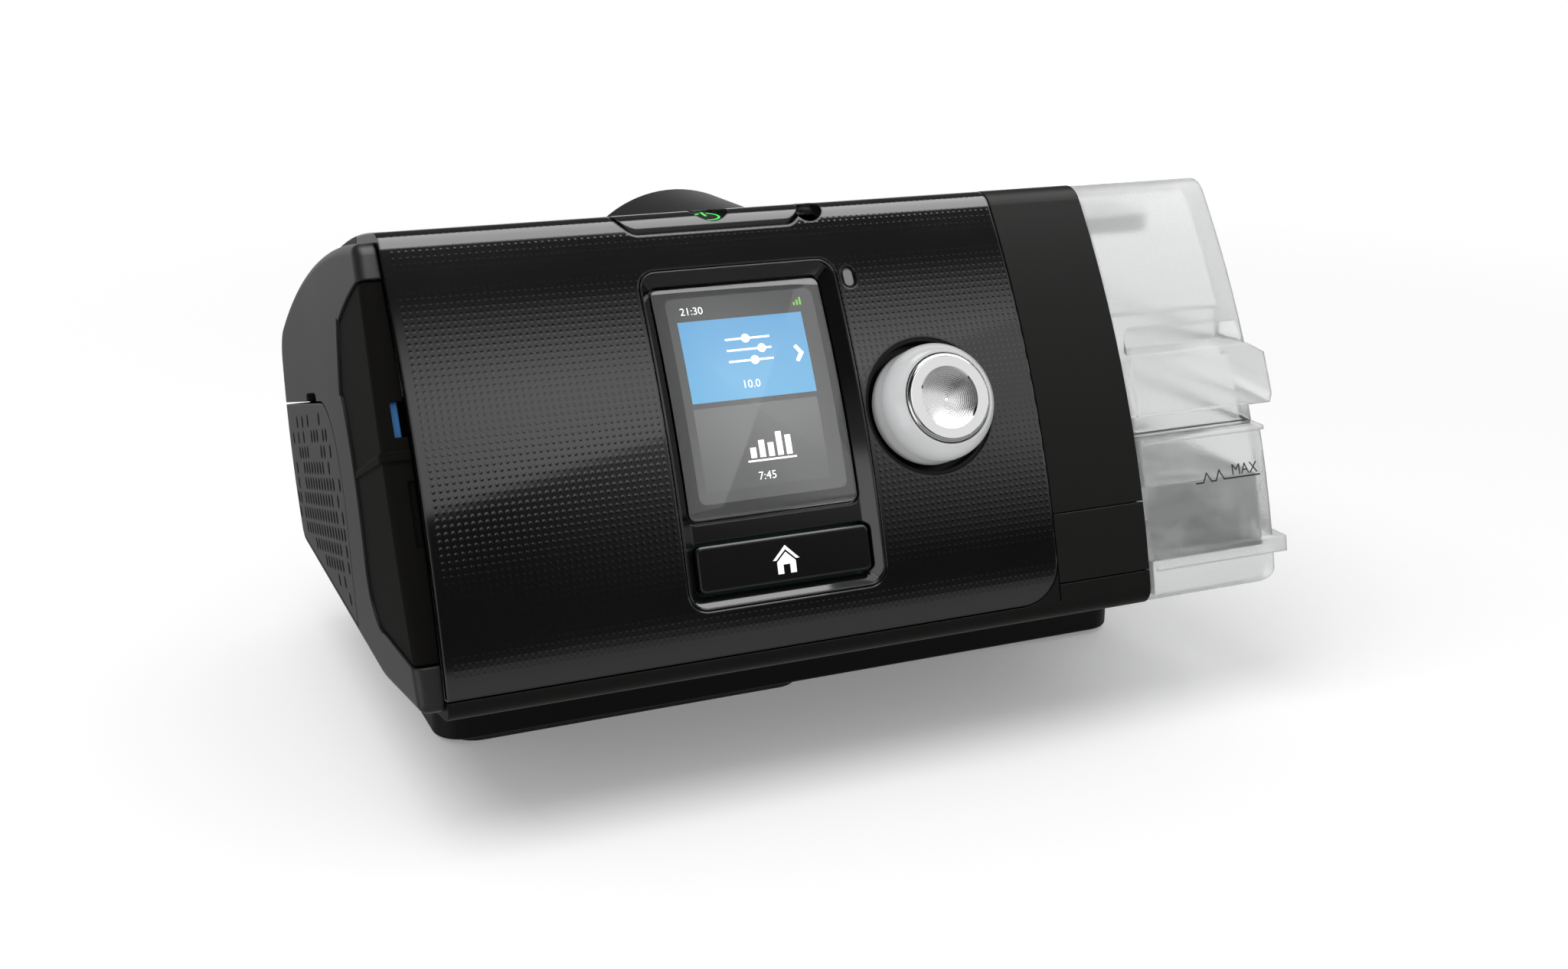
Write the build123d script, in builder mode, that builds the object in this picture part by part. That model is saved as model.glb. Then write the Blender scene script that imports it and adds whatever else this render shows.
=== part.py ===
from build123d import *
import os
from math import asin, cos, degrees, radians, sin, sqrt

os.makedirs("parts", exist_ok=True)

# A bedside breathing-therapy blower with a water tub that slides in from the right.
# Millimetres. +X to the right, +Y to the back, +Z up. The front faces -Y, the stand is on Z = 0.

# ---- driving dimensions ----
# side outline of the body, in the YZ plane
FACE_R = 214.8          # radius of the bowed front face
FACE_CY, FACE_CZ = 135.7, -14.1
FACE_LOW = 11.2         # lean of the face at its bottom and top, degrees
FACE_TOP = 37.42
TOP_MID = (8.0, 106.0)
TOP_BACK_Z = 77.5
REAR_Y = 64.0
UNDER_Z = 20.4          # flat underside
UNDER_FRONT_Y = -36.0
TOP_ROUND, BACK_ROUND, HEEL_ROUND, LIP_ROUND, UNDER_ROUND = 6.0, 14.0, 6.0, 4.0, 40.0

WALL = 2.5              # casing wall
SEAM = 0.3              # visible joint line between casing pieces
FIT = 0.25              # clearance round a part that moves

# stations along the width
LEFT_X = -102.5
CASE_X0 = -96.1         # left end of the fascia and the casing
FASCIA_X1 = 40.5
BAND_X0, BAND_X1 = 40.8, 64.1
TUB_X0, TUB_X1 = 64.4, 98.4
GRIP_X1 = 102.5

# leans on the face, degrees
FASCIA_LOW = 12.4
BADGE_LOW, BADGE_TOP = 13.35, 17.5
FASCIA_BACK_Y = -14.3
SPLIT_Z = 30.0          # lower housing meets the shells above

# side cover
SIDE_R, SIDE_MID_Z = 600.0, 70.0
SIDE_WALL = 2.2
SIDE_STEP = 2.0         # the cover stands this far inside the outline of the casing
DOOR_STEP = 0.5         # the card door lies this far under the skin of the cover
SIDE_X1 = CASE_X0 - SEAM

# screen bay
SCREEN_X, SCREEN_LEAN = -23.0, 24.45
BEZEL_W, BEZEL_H, BEZEL_R = 44.2, 70.6, 4.0
BEZEL_STEP = 2.8        # depth of the sunk frame under the face
BEZEL_FLOOR = 2.6       # width of the sloping rim
BEZEL_BACK = 8.0
LENS_X, LENS_LEAN, LENS_W, LENS_H, LENS_T = -23.3, 26.45, 37.9, 48.9, 1.6
LENS_DEPTH = 2.4
LENS_GROOVE, GROOVE_DEPTH = 0.6, 5.4
LCD_T = 2.4
HOME_X, HOME_LEAN, HOME_W, HOME_H, HOME_T = -22.9, 17.15, 38.8, 9.75, 2.8
HOME_DEPTH, HOME_GAP = 1.0, 0.7
BOARD_T = 1.6

# dial
DIAL_X, DIAL_LEAN = 14.8, 24.65
DIAL_HOLE_R, SKIRT_R, CAP_R, SHAFT_R = 15.1, 12.7, 9.55, 3.0
DIAL_RISE = 8.6         # knob above the face
CUP_DEPTH = 4.0
DIMPLE_R = 15.6         # hollow in the cap

# start button on the top edge
START_X, START_W = -25.9, 41.4
START_Y, START_D = -30.4, 12.9
START_R = 4.0
START_BASE_Z = 107.0
LIGHT_X, LIGHT_Y, LIGHT_Z, LIGHT_R, LIGHT_TILT = -25.3, -31.9, 114.7, 4.4, 6.0
START_POCKET = 1.1      # depth of the shallow groove round the button
DISH_X, DISH_R = -3.4, 3.4

# light sensor window
SENSOR_X, SENSOR_LEAN, SENSOR_W, SENSOR_H = 2.0, 32.65, 3.2, 4.9

# stand
FOOT_T = 1.0
STAND_X0, STAND_X1, STAND_Y0, STAND_Y1, STAND_R = -88.0, 87.6, -27.0, 56.0, 7.0

# air outlet
OUT_X, OUT_Z, HOOD_R = 2.5, 74.7, 31.0
OUT_R, OUT_BORE, OUT_END_Y, CUFF_R = 11.0, 9.0, 74.3, 16.5
CUFF_Y0, HOOD_Y1 = 54.0, 66.0
OUT_COLLAR_R, OUT_COLLAR_Y1 = 11.6, 54.3

# tub and its bay
BAY_X0, BAY_Y0, BAY_Y1, BAY_Z0, BAY_Z1 = -34.0, -40.0, 38.0, 26.0, 89.0
BAY_WALL, BAY_GAP = 1.6, 0.5
TUB_WALL, TUB_UNDER_Z = 2.0, 27.0
RIM_Z, SEAL_T = 63.2, 0.8           # top rim of the tub base, and the seal on it
WAIST_Z1, WAIST_IN = 68.0, 1.2
FLANGE_Z0, FLANGE_Z1, FLANGE_X1, FLANGE_OUT = 35.0, 38.5, 101.5, 0.8
GRIP_Z1, GRIP_OUT = 81.0, 0.8
SCOOP_Z1, SCOOP_IN = 85.8, 4.0
PORT_R, INLET_Y, PORT_Z = 8.0, 0.0, 74.7
HEATER_X0, HEATER_X1, HEATER_Y0, HEATER_Y1 = -22.0, 38.0, -26.0, 24.0

# blower
BLOWER_X, BLOWER_Y, BLOWER_R = -64.0, 15.0, 24.0
BLOWER_Z0, BLOWER_Z1 = 64.7, 84.7
BLOWER_WALL = 1.5
IMPELLER_R, MOTOR_R, MOTOR_Z0, ROTOR_R, AXLE_R = 20.0, 14.0, 40.0, 8.0, 1.5

# card door and filter door in the side cover
DOOR_GAP = 0.5
CARD_AXIS_X, CARD_AXIS_Y = -101.35, -17.65
CARD_EDGE_Y = -16.9     # straight hinge edge of the card door
FILTER_AXIS_X, FILTER_AXIS_Z = -99.7, 26.6
FILTER_Z0 = 25.3
PIN_R = 0.4
CARD_X, CARD_LEAN, CARD_T, CARD_W, CARD_L = -98.45, 26.9, 2.0, 24.0, 32.0
CARD_DEPTH = SIDE_STEP + DOOR_STEP + 1.1

# rear: power inlet with its cord clip, and the cover of the accessory socket
INLET_X, REAR_Z, INLET_W, INLET_H = -62.0, 40.0, 14.0, 10.0
CLIP_Y, CLIP_Z = 66.4, 33.2
ADAPTER_X0, ADAPTER_X1, ADAPTER_H = -39.7, -20.3, 13.4
ADAPTER_AXIS_X, ADAPTER_AXIS_Y = -38.9, 63.4


def face_yz(lean, depth=0.0):
    """Side-view point on the bowed face at a lean, some depth under the skin."""
    radius = FACE_R - depth
    return (FACE_CY - radius * cos(radians(lean)), FACE_CZ + radius * sin(radians(lean)))


def face_plane(x, lean):
    """Plane touching the face, its normal pointing out of the casing."""
    y, z = face_yz(lean)
    return Plane(origin=(x, y, z), x_dir=(1, 0, 0), z_dir=(0, -cos(radians(lean)), sin(radians(lean))))


def spin_plane(plane):
    """Plane that holds a face plane's normal as its vertical, for turned profiles."""
    return Plane(origin=plane.origin, x_dir=plane.x_dir, z_dir=plane.x_dir.cross(plane.z_dir))


def body_section(inset=0.0):
    """Side outline of the body in side-view coordinates, shrunk by an inset."""
    with BuildSketch() as section:
        with BuildLine():
            middle = (FACE_LOW + FACE_TOP) / 2
            front = ThreePointArc(face_yz(FACE_LOW), face_yz(middle), face_yz(FACE_TOP))
            top = ThreePointArc(front @ 1, TOP_MID, (REAR_Y, TOP_BACK_Z))
            Polyline(top @ 1, (REAR_Y, UNDER_Z), (UNDER_FRONT_Y, UNDER_Z), front @ 0)
        make_face()
        fillet(section.vertices().sort_by(Axis.Y)[-1], TOP_ROUND)
        fillet(section.vertices().group_by(Axis.X)[-1].sort_by(Axis.Y)[-1], BACK_ROUND)
        fillet(section.vertices().group_by(Axis.X)[-1].sort_by(Axis.Y)[0], HEEL_ROUND)
        fillet(section.vertices().sort_by(Axis.X)[0], LIP_ROUND)
        fillet(section.vertices().group_by(Axis.Y)[0].sort_by(Axis.X)[0], UNDER_ROUND)
        if inset:
            offset(amount=-inset)
    return section.sketch_local


def skin_section(outer, inner, outline):
    """Slice of the body between two insets, or of all of it, kept inside a side-view outline."""
    with BuildSketch() as section:
        add(body_section(outer))
        if inner is not None:
            add(body_section(inner), mode=Mode.SUBTRACT)
        with BuildLine():
            Polyline(*outline, close=True)
        make_face(mode=Mode.INTERSECT)
    return section.sketch_local


def bay_section(inset=0.0):
    """Side-view section of the tub bay, shrunk by an inset."""
    with BuildSketch() as section:
        with Locations(((BAY_Y0 + BAY_Y1) / 2, (BAY_Z0 + BAY_Z1) / 2)):
            RectangleRounded(BAY_Y1 - BAY_Y0 - 2 * inset, BAY_Z1 - BAY_Z0 - 2 * inset, 4.0 - inset / 2)
    return section.sketch_local


def above(low_z, high_z=200.0):
    """Side-view band between two heights."""
    return [(-150, low_z), (150, low_z), (150, high_z), (-150, high_z)]


def face_outline(low, high=None):
    """Side-view outline round the front wall between two leans, or up over the top edge."""
    low_out, low_in = face_yz(low, -20), face_yz(low, 20)
    if high is None:
        return [low_out, low_in, (-40, 60), (FASCIA_BACK_Y, 90), (FASCIA_BACK_Y, 140),
                (low_out[0], 140)]
    return [low_out, low_in, face_yz(high, 20), face_yz(high, -20)]


# ---- planes of the pieces set into the face ----
FASCIA_CORNER = 9.0
bezel_plane = face_plane(SCREEN_X, SCREEN_LEAN)
lens_plane = face_plane(LENS_X, LENS_LEAN)
home_plane = face_plane(HOME_X, HOME_LEAN)
dial_plane = face_plane(DIAL_X, DIAL_LEAN)
sensor_plane = face_plane(SENSOR_X, SENSOR_LEAN)
corner_lean = FASCIA_LOW + degrees(FASCIA_CORNER / FACE_R)
corner_plane = face_plane(FASCIA_X1 - FASCIA_CORNER, corner_lean)
light_plane = Plane(origin=(LIGHT_X, LIGHT_Y, LIGHT_Z), x_dir=(1, 0, 0),
                    z_dir=(0, -sin(radians(LIGHT_TILT)), cos(radians(LIGHT_TILT))))
lens_axis = Axis(lens_plane.origin, lens_plane.z_dir)
home_axis = Axis(home_plane.origin, home_plane.z_dir)

# ---- stand and feet ----
with BuildPart() as stand_base:
    stand_mid = ((STAND_X0 + STAND_X1) / 2, (STAND_Y0 + STAND_Y1) / 2)
    with BuildSketch(Plane.XY.offset(FOOT_T)):
        with Locations(stand_mid):
            RectangleRounded(STAND_X1 - STAND_X0, STAND_Y1 - STAND_Y0, STAND_R)
    extrude(amount=UNDER_Z - FOOT_T)
    fillet(stand_base.faces().sort_by(Axis.Z)[0].outer_wire().edges(), 0.8)
    with BuildSketch(Plane.XY.offset(FOOT_T + 3.0)):
        with Locations(stand_mid):
            RectangleRounded(STAND_X1 - STAND_X0 - 2 * WALL, STAND_Y1 - STAND_Y0 - 2 * WALL, STAND_R - WALL)
    extrude(amount=UNDER_Z, mode=Mode.SUBTRACT)
    with BuildSketch(Plane.XY.offset(FOOT_T + 3.0)):
        with Locations(stand_mid):
            with GridLocations(120, 56, 2, 2):
                Circle(4.0)
    extrude(amount=UNDER_Z - FOOT_T - 3.0)
    with Locations((*stand_mid, FOOT_T)):
        with GridLocations(120, 56, 2, 2):
            CounterBoreHole(radius=1.6, counter_bore_radius=3.0, counter_bore_depth=6.0, depth=40)
stand_base.part.label = "stand_base"
export_step(stand_base.part, "parts/stand_base.step")

with BuildPart() as rubber_feet:
    with BuildSketch(Plane.XY):
        with Locations((STAND_X0 + 46, STAND_Y0 + 9)):
            RectangleRounded(84, 16, 6)
        with Locations((STAND_X1 - 30, STAND_Y0 + 17)):
            RectangleRounded(40, 13, 6)
        with Locations((STAND_X0 + 28, STAND_Y1 - 10), (STAND_X1 - 28, STAND_Y1 - 10)):
            RectangleRounded(40, 13, 6)
    extrude(amount=FOOT_T)
rubber_feet.part.label = "rubber_feet"
export_step(rubber_feet.part, "parts/rubber_feet.step")

with BuildPart() as housing_screws:
    with Locations((*stand_mid, FOOT_T + 6.0)):
        with GridLocations(120, 56, 2, 2):
            Cylinder(1.5, 15.0, align=(Align.CENTER, Align.CENTER, Align.MIN))
            Cylinder(2.8, 1.8, align=(Align.CENTER, Align.CENTER, Align.MAX))
housing_screws.part.label = "housing_screws"
export_step(housing_screws.part, "parts/housing_screws.step")

# ---- lower housing: tray under everything, with the lip that shows below the fascia ----
with BuildPart() as lower_housing:
    under = [(-120, 0), (90, 0), (90, SPLIT_Z), (-40, SPLIT_Z)]
    with BuildSketch(Plane.YZ.offset(CASE_X0)):
        add(skin_section(0, WALL, under + [face_yz(FASCIA_LOW - 0.1, 20), face_yz(FASCIA_LOW - 0.1, -20)]))
    extrude(amount=BAND_X0 - CASE_X0)
    with BuildSketch(Plane.YZ.offset(BAND_X0)):
        add(skin_section(0, WALL, under + [face_yz(BADGE_LOW - 0.05, 20), face_yz(BADGE_LOW - 0.05, -20)]))
    extrude(amount=BAND_X1 - BAND_X0)
    # right end wall round the mouth of the tub bay
    with BuildSketch(Plane.YZ.offset(BAND_X1 - WALL)):
        add(skin_section(0, None, under + [face_yz(BADGE_LOW - 0.05, 20), face_yz(BADGE_LOW - 0.05, -20)]))
        add(bay_section(), mode=Mode.SUBTRACT)
    extrude(amount=WALL)
    # web that fills the cut-away corner of the fascia
    with BuildSketch(Plane.YZ.offset(FASCIA_X1 - FASCIA_CORNER)):
        add(skin_section(0, WALL, face_outline(FASCIA_LOW - 0.1, corner_lean)))
    extrude(amount=FASCIA_CORNER)
    with BuildSketch(corner_plane.offset(-9)):
        Circle(FASCIA_CORNER + SEAM)
    extrude(amount=18, mode=Mode.SUBTRACT)
    # screw bosses over the stand
    with BuildSketch(Plane.XY.offset(UNDER_Z)):
        with Locations(stand_mid):
            with GridLocations(120, 56, 2, 2):
                Circle(3.4)
    extrude(amount=3.8)
    with Locations((*stand_mid, UNDER_Z - 1)):
        with GridLocations(120, 56, 2, 2):
            Cylinder(1.5, 20, mode=Mode.SUBTRACT)
lower_housing.part.label = "lower_housing"
export_step(lower_housing.part, "parts/lower_housing.step")

# ---- front fascia: bowed panel that wraps over the top edge ----
with BuildPart() as start_pocket:
    # shallow groove round the start button
    with BuildSketch(Plane.XY.offset(95)):
        with Locations((START_X, START_Y)):
            RectangleRounded(START_W + 1.9, START_D + 1.5, START_R + 0.9)
    extrude(amount=30)
    with BuildSketch(Plane.YZ.offset(CASE_X0)):
        add(body_section(START_POCKET))
    extrude(amount=BAND_X0 - CASE_X0, mode=Mode.SUBTRACT)

with BuildPart() as front_fascia:
    with BuildSketch(Plane.YZ.offset(CASE_X0)):
        add(skin_section(0, WALL, face_outline(FASCIA_LOW)))
    extrude(amount=FASCIA_X1 - CASE_X0)
    with BuildSketch(bezel_plane.offset(-9)):
        RectangleRounded(BEZEL_W + 2 * FIT, BEZEL_H + 2 * FIT, BEZEL_R + FIT)
    extrude(amount=18, mode=Mode.SUBTRACT)
    with BuildSketch(dial_plane.offset(-9)):
        Circle(DIAL_HOLE_R)
    extrude(amount=18, mode=Mode.SUBTRACT)
    with BuildSketch(sensor_plane.offset(-9)):
        SlotOverall(SENSOR_H + 0.1, SENSOR_W + 0.1, rotation=90)
    extrude(amount=18, mode=Mode.SUBTRACT)
    with BuildSketch(Plane.XY.offset(100)):
        with Locations((START_X, START_Y)):
            RectangleRounded(START_W + 2 * FIT, START_D + 2 * FIT, START_R + FIT)
    extrude(amount=30, mode=Mode.SUBTRACT)
    add(start_pocket.part, mode=Mode.SUBTRACT)
    with Locations((DISH_X, -34.6, 114.9)):
        Sphere(DISH_R, mode=Mode.SUBTRACT)
    # bottom right corner of the panel is round
    with BuildSketch(corner_plane.offset(-9)):
        with Locations((FASCIA_CORNER, -FASCIA_CORNER)):
            Rectangle(2 * FASCIA_CORNER, 2 * FASCIA_CORNER)
        Circle(FASCIA_CORNER, mode=Mode.SUBTRACT)
    extrude(amount=18, mode=Mode.SUBTRACT)
front_fascia.part.label = "front_fascia"
export_step(front_fascia.part, "parts/front_fascia.step")

# ---- screen bezel: sunk frame with a sloping rim ----
BEZEL_LOW = SCREEN_LEAN - degrees(asin((BEZEL_H / 2 - 0.4) / FACE_R))
BEZEL_HIGH = 2 * SCREEN_LEAN - BEZEL_LOW
rim_lean = degrees(BEZEL_FLOOR / FACE_R)

with BuildPart() as bezel_pocket:
    # the sunk floor is turned about the centre line of the bowed face
    low = radians(BEZEL_LOW)
    turn_plane = Plane(origin=(SCREEN_X, FACE_CY, FACE_CZ), x_dir=(1, 0, 0), z_dir=(0, -sin(low), -cos(low)))
    rim_half = BEZEL_W / 2 - 0.4
    floor_half = rim_half - BEZEL_FLOOR
    with BuildSketch(turn_plane):
        with BuildLine():
            Polyline((-floor_half, FACE_R - BEZEL_STEP), (floor_half, FACE_R - BEZEL_STEP), (rim_half, FACE_R),
                     (rim_half, FACE_R + 4), (-rim_half, FACE_R + 4), (-rim_half, FACE_R), close=True)
        make_face()
    revolve(axis=Axis((0, FACE_CY, FACE_CZ), (-1, 0, 0)), revolution_arc=BEZEL_HIGH - BEZEL_LOW)
    with BuildSketch(Plane.YZ.offset(CASE_X0)):
        with BuildLine():
            out_lean = rim_lean * 5 / BEZEL_STEP
            Polyline(face_yz(BEZEL_LOW + rim_lean, BEZEL_STEP), face_yz(BEZEL_HIGH - rim_lean, BEZEL_STEP),
                     face_yz(BEZEL_HIGH + out_lean, -5), face_yz(BEZEL_LOW - out_lean, -5), close=True)
        make_face()
    extrude(amount=BAND_X0 - CASE_X0, mode=Mode.INTERSECT)
    with BuildSketch(bezel_plane.offset(-10)):
        RectangleRounded(BEZEL_W - 0.8, BEZEL_H - 0.8, BEZEL_R - 0.4)
    extrude(amount=20, mode=Mode.INTERSECT)

with BuildPart() as screen_bezel:
    with BuildSketch(bezel_plane.offset(-BEZEL_BACK)):
        RectangleRounded(BEZEL_W, BEZEL_H, BEZEL_R)
    extrude(amount=20)
    with BuildSketch(Plane.YZ.offset(CASE_X0)):
        add(body_section())
    extrude(amount=BAND_X0 - CASE_X0, mode=Mode.INTERSECT)
    add(bezel_pocket.part, mode=Mode.SUBTRACT)
    # windows for the lens, in a groove, and for the home button
    with BuildSketch(lens_plane.offset(-12)):
        RectangleRounded(LENS_W + 0.1, LENS_H + 0.1, 1.6)
    extrude(amount=16, mode=Mode.SUBTRACT)
    with BuildSketch(lens_plane.offset(-GROOVE_DEPTH)):
        RectangleRounded(LENS_W + 2 * LENS_GROOVE, LENS_H + 2 * LENS_GROOVE, 2.2)
    extrude(amount=GROOVE_DEPTH, mode=Mode.SUBTRACT)
    with BuildSketch(home_plane.offset(-12)):
        RectangleRounded(HOME_W + 2 * HOME_GAP, HOME_H + 2 * HOME_GAP, 2.0)
    extrude(amount=16, mode=Mode.SUBTRACT)
screen_bezel.part.label = "screen_bezel"
export_step(screen_bezel.part, "parts/screen_bezel.step")

with BuildPart() as screen_lens:
    # bowed like the face
    with BuildSketch(lens_plane.offset(-LENS_DEPTH - LENS_T - LCD_T)):
        RectangleRounded(LENS_W, LENS_H, 1.5)
    extrude(amount=12)
    with BuildSketch(Plane.YZ.offset(CASE_X0)):
        add(skin_section(LENS_DEPTH, LENS_DEPTH + LENS_T, face_outline(LENS_LEAN - 10, LENS_LEAN + 10)))
    extrude(amount=BAND_X0 - CASE_X0, mode=Mode.INTERSECT)
    chamfer(screen_lens.faces().sort_by(lens_axis)[-1].edges(), 0.3)
screen_lens.part.label = "screen_lens"
export_step(screen_lens.part, "parts/screen_lens.step")

with BuildPart() as lcd_panel:
    # flat behind, bowed in front to lie against the lens
    with BuildSketch(lens_plane.offset(-LENS_DEPTH - LENS_T - LCD_T)):
        RectangleRounded(LENS_W, LENS_H, 1.5)
    extrude(amount=LCD_T + 2)
    with BuildSketch(Plane.YZ.offset(CASE_X0)):
        add(body_section(LENS_DEPTH + LENS_T))
    extrude(amount=BAND_X0 - CASE_X0, mode=Mode.INTERSECT)
lcd_panel.part.label = "lcd_panel"
export_step(lcd_panel.part, "parts/lcd_panel.step")

with BuildPart() as display_board:
    with BuildSketch(bezel_plane.offset(-BEZEL_BACK - BOARD_T)):
        RectangleRounded(BEZEL_W - 1, BEZEL_H - 2, 2)
    extrude(amount=BOARD_T)
    with BuildSketch(bezel_plane.offset(-BEZEL_BACK - BOARD_T)):
        with GridLocations(12, 22, 3, 2):
            Rectangle(7, 7)
    extrude(amount=-1.2)
display_board.part.label = "display_board"
export_step(display_board.part, "parts/display_board.step")

# ---- home button, with its dome switch on the display board ----
with BuildPart() as home_button:
    with BuildSketch(home_plane.offset(-HOME_DEPTH - HOME_T)):
        RectangleRounded(HOME_W, HOME_H, 1.35)
    extrude(amount=HOME_T)
    fillet(home_button.faces().sort_by(home_axis)[-1].edges(), 0.6)
home_button.part.label = "home_button"
export_step(home_button.part, "parts/home_button.step")

switch_plane = Plane(origin=bezel_plane.from_local_coords((HOME_X - SCREEN_X, -27.4, -BEZEL_BACK)),
                     x_dir=(1, 0, 0), z_dir=bezel_plane.z_dir)
with BuildPart() as home_switch:
    with BuildSketch(switch_plane):
        RectangleRounded(6, 5, 0.5)
    extrude(amount=1.1)
    with BuildSketch(switch_plane.offset(1.1)):
        Circle(1.6)
    extrude(amount=0.4)
home_switch.part.label = "home_switch"
export_step(home_switch.part, "parts/home_switch.step")

# ---- start button on the top edge, with its light ring and switch board ----
with BuildPart() as start_button:
    with BuildSketch(Plane.XY.offset(START_BASE_Z)):
        with Locations((START_X, START_Y)):
            RectangleRounded(START_W, START_D, START_R)
    extrude(amount=20)
    with BuildSketch(Plane.YZ.offset(CASE_X0)):
        add(body_section())
    extrude(amount=BAND_X0 - CASE_X0, mode=Mode.INTERSECT)
    with BuildSketch(light_plane):
        Circle(LIGHT_R)
    extrude(amount=20, both=True, mode=Mode.SUBTRACT)
start_button.part.label = "start_button"
export_step(start_button.part, "parts/start_button.step")

with BuildPart() as status_light:
    with BuildSketch(light_plane.offset(-7.0)):
        Circle(LIGHT_R)
    extrude(amount=6.85)
status_light.part.label = "status_light"
export_step(status_light.part, "parts/status_light.step")

with BuildPart() as start_board:
    with BuildSketch(Plane.XY.offset(START_BASE_Z - 6.0)):
        with Locations((START_X, START_Y + 4)):
            RectangleRounded(START_W + 8, 16, 1)
    extrude(amount=BOARD_T)
    with BuildSketch(Plane.XY.offset(START_BASE_Z - 6.0 + BOARD_T)):
        with Locations((START_X, START_Y)):
            RectangleRounded(6, 6, 0.5)
    extrude(amount=3.4)
start_board.part.label = "start_board"
export_step(start_board.part, "parts/start_board.step")

# ---- dial: cup in the fascia, knob skirt and cap on a shaft, encoder behind ----
dial_turn = spin_plane(dial_plane)
dial_axis = Axis(dial_plane.origin, dial_plane.z_dir)

with BuildPart() as dial_cup:
    with BuildSketch(dial_turn):
        with BuildLine():
            Polyline((SHAFT_R + 1.2, -CUP_DEPTH - 1.5), (DIAL_HOLE_R, -CUP_DEPTH - 1.5), (DIAL_HOLE_R, -0.7),
                     (DIAL_HOLE_R - 0.9, -0.7), (DIAL_HOLE_R - 1.1, -CUP_DEPTH), (SHAFT_R + 1.2, -CUP_DEPTH),
                     close=True)
        make_face()
    revolve(axis=dial_axis)
dial_cup.part.label = "dial_cup"
export_step(dial_cup.part, "parts/dial_cup.step")

with BuildPart() as dial_skirt:
    with BuildSketch(dial_turn):
        with BuildLine():
            Polyline((SHAFT_R, -2.6), (SKIRT_R - 0.2, -2.6), (SKIRT_R, -2.2), (SKIRT_R, 2.4))
            shoulder = ThreePointArc((SKIRT_R, 2.4), (SKIRT_R - 0.6, 6.2), (SKIRT_R - 2.3, DIAL_RISE))
            Polyline(shoulder @ 1, (CAP_R + 0.25, DIAL_RISE), (CAP_R + 0.25, DIAL_RISE - 4), (SHAFT_R, DIAL_RISE - 4),
                     (SHAFT_R, -2.6))
        make_face()
    revolve(axis=dial_axis)
dial_skirt.part.label = "dial_skirt"
export_step(dial_skirt.part, "parts/dial_skirt.step")

with BuildPart() as dial_cap:
    with BuildSketch(dial_plane.offset(DIAL_RISE - 4)):
        Circle(CAP_R)
    extrude(amount=4.7)
    fillet(dial_cap.faces().sort_by(dial_axis)[-1].edges(), 0.8)
    with Locations(dial_plane.offset(DIAL_RISE - 0.8 + DIMPLE_R)):
        Sphere(DIMPLE_R, mode=Mode.SUBTRACT)
dial_cap.part.label = "dial_cap"
export_step(dial_cap.part, "parts/dial_cap.step")

with BuildPart() as dial_shaft:
    with BuildSketch(dial_plane.offset(-8.2)):
        Circle(SHAFT_R)
    extrude(amount=DIAL_RISE - 4 + 8.2)
dial_shaft.part.label = "dial_shaft"
export_step(dial_shaft.part, "parts/dial_shaft.step")

with BuildPart() as encoder_plunger:
    with BuildSketch(dial_plane.offset(-10.4)):
        Circle(SHAFT_R - 0.2)
    extrude(amount=2.2)
encoder_plunger.part.label = "encoder_plunger"
export_step(encoder_plunger.part, "parts/encoder_plunger.step")

with BuildPart() as encoder:
    with BuildSketch(dial_plane.offset(-14.5)):
        RectangleRounded(12.5, 12.5, 1.0)
    extrude(amount=7.0)
    with BuildSketch(dial_plane.offset(-7.5)):
        Circle(4.6)
    extrude(amount=1.9)
    with BuildSketch(dial_plane.offset(-11.4)):
        Circle(SHAFT_R + 0.05)
    extrude(amount=10, mode=Mode.SUBTRACT)
encoder.part.label = "encoder"
export_step(encoder.part, "parts/encoder.step")

# ---- light sensor window ----
with BuildPart() as sensor_window:
    with BuildSketch(sensor_plane.offset(-4)):
        SlotOverall(SENSOR_H, SENSOR_W, rotation=90)
    extrude(amount=3.7)
sensor_window.part.label = "sensor_window"
export_step(sensor_window.part, "parts/sensor_window.step")

# ---- end band: matte hoop right of the fascia, with a plain badge panel low on its front ----
with BuildPart() as end_band:
    over = [(120, SPLIT_Z + SEAM), (120, 160), (-130, 160)]
    with BuildSketch(Plane.YZ.offset(BAND_X0)):
        add(skin_section(0, WALL, over + [face_yz(BADGE_TOP, -20), face_yz(BADGE_TOP, 20), (-40, SPLIT_Z + SEAM)]))
    extrude(amount=BAND_X1 - BAND_X0)
    # right end wall round the mouth of the tub bay
    low = BADGE_LOW + 0.05
    with BuildSketch(Plane.YZ.offset(BAND_X1 - WALL)):
        add(skin_section(WALL, None, over + [face_yz(low, -20), face_yz(low, 20), (-40, SPLIT_Z + SEAM)]))
        add(bay_section(), mode=Mode.SUBTRACT)
    extrude(amount=WALL)
end_band.part.label = "end_band"
export_step(end_band.part, "parts/end_band.step")

with BuildPart() as badge_panel:
    with BuildSketch(Plane.YZ.offset(BAND_X0)):
        add(skin_section(0, WALL, face_outline(BADGE_LOW + 0.03, BADGE_TOP - 0.06)))
    extrude(amount=BAND_X1 - BAND_X0)
badge_panel.part.label = "badge_panel"
export_step(badge_panel.part, "parts/badge_panel.step")

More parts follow.
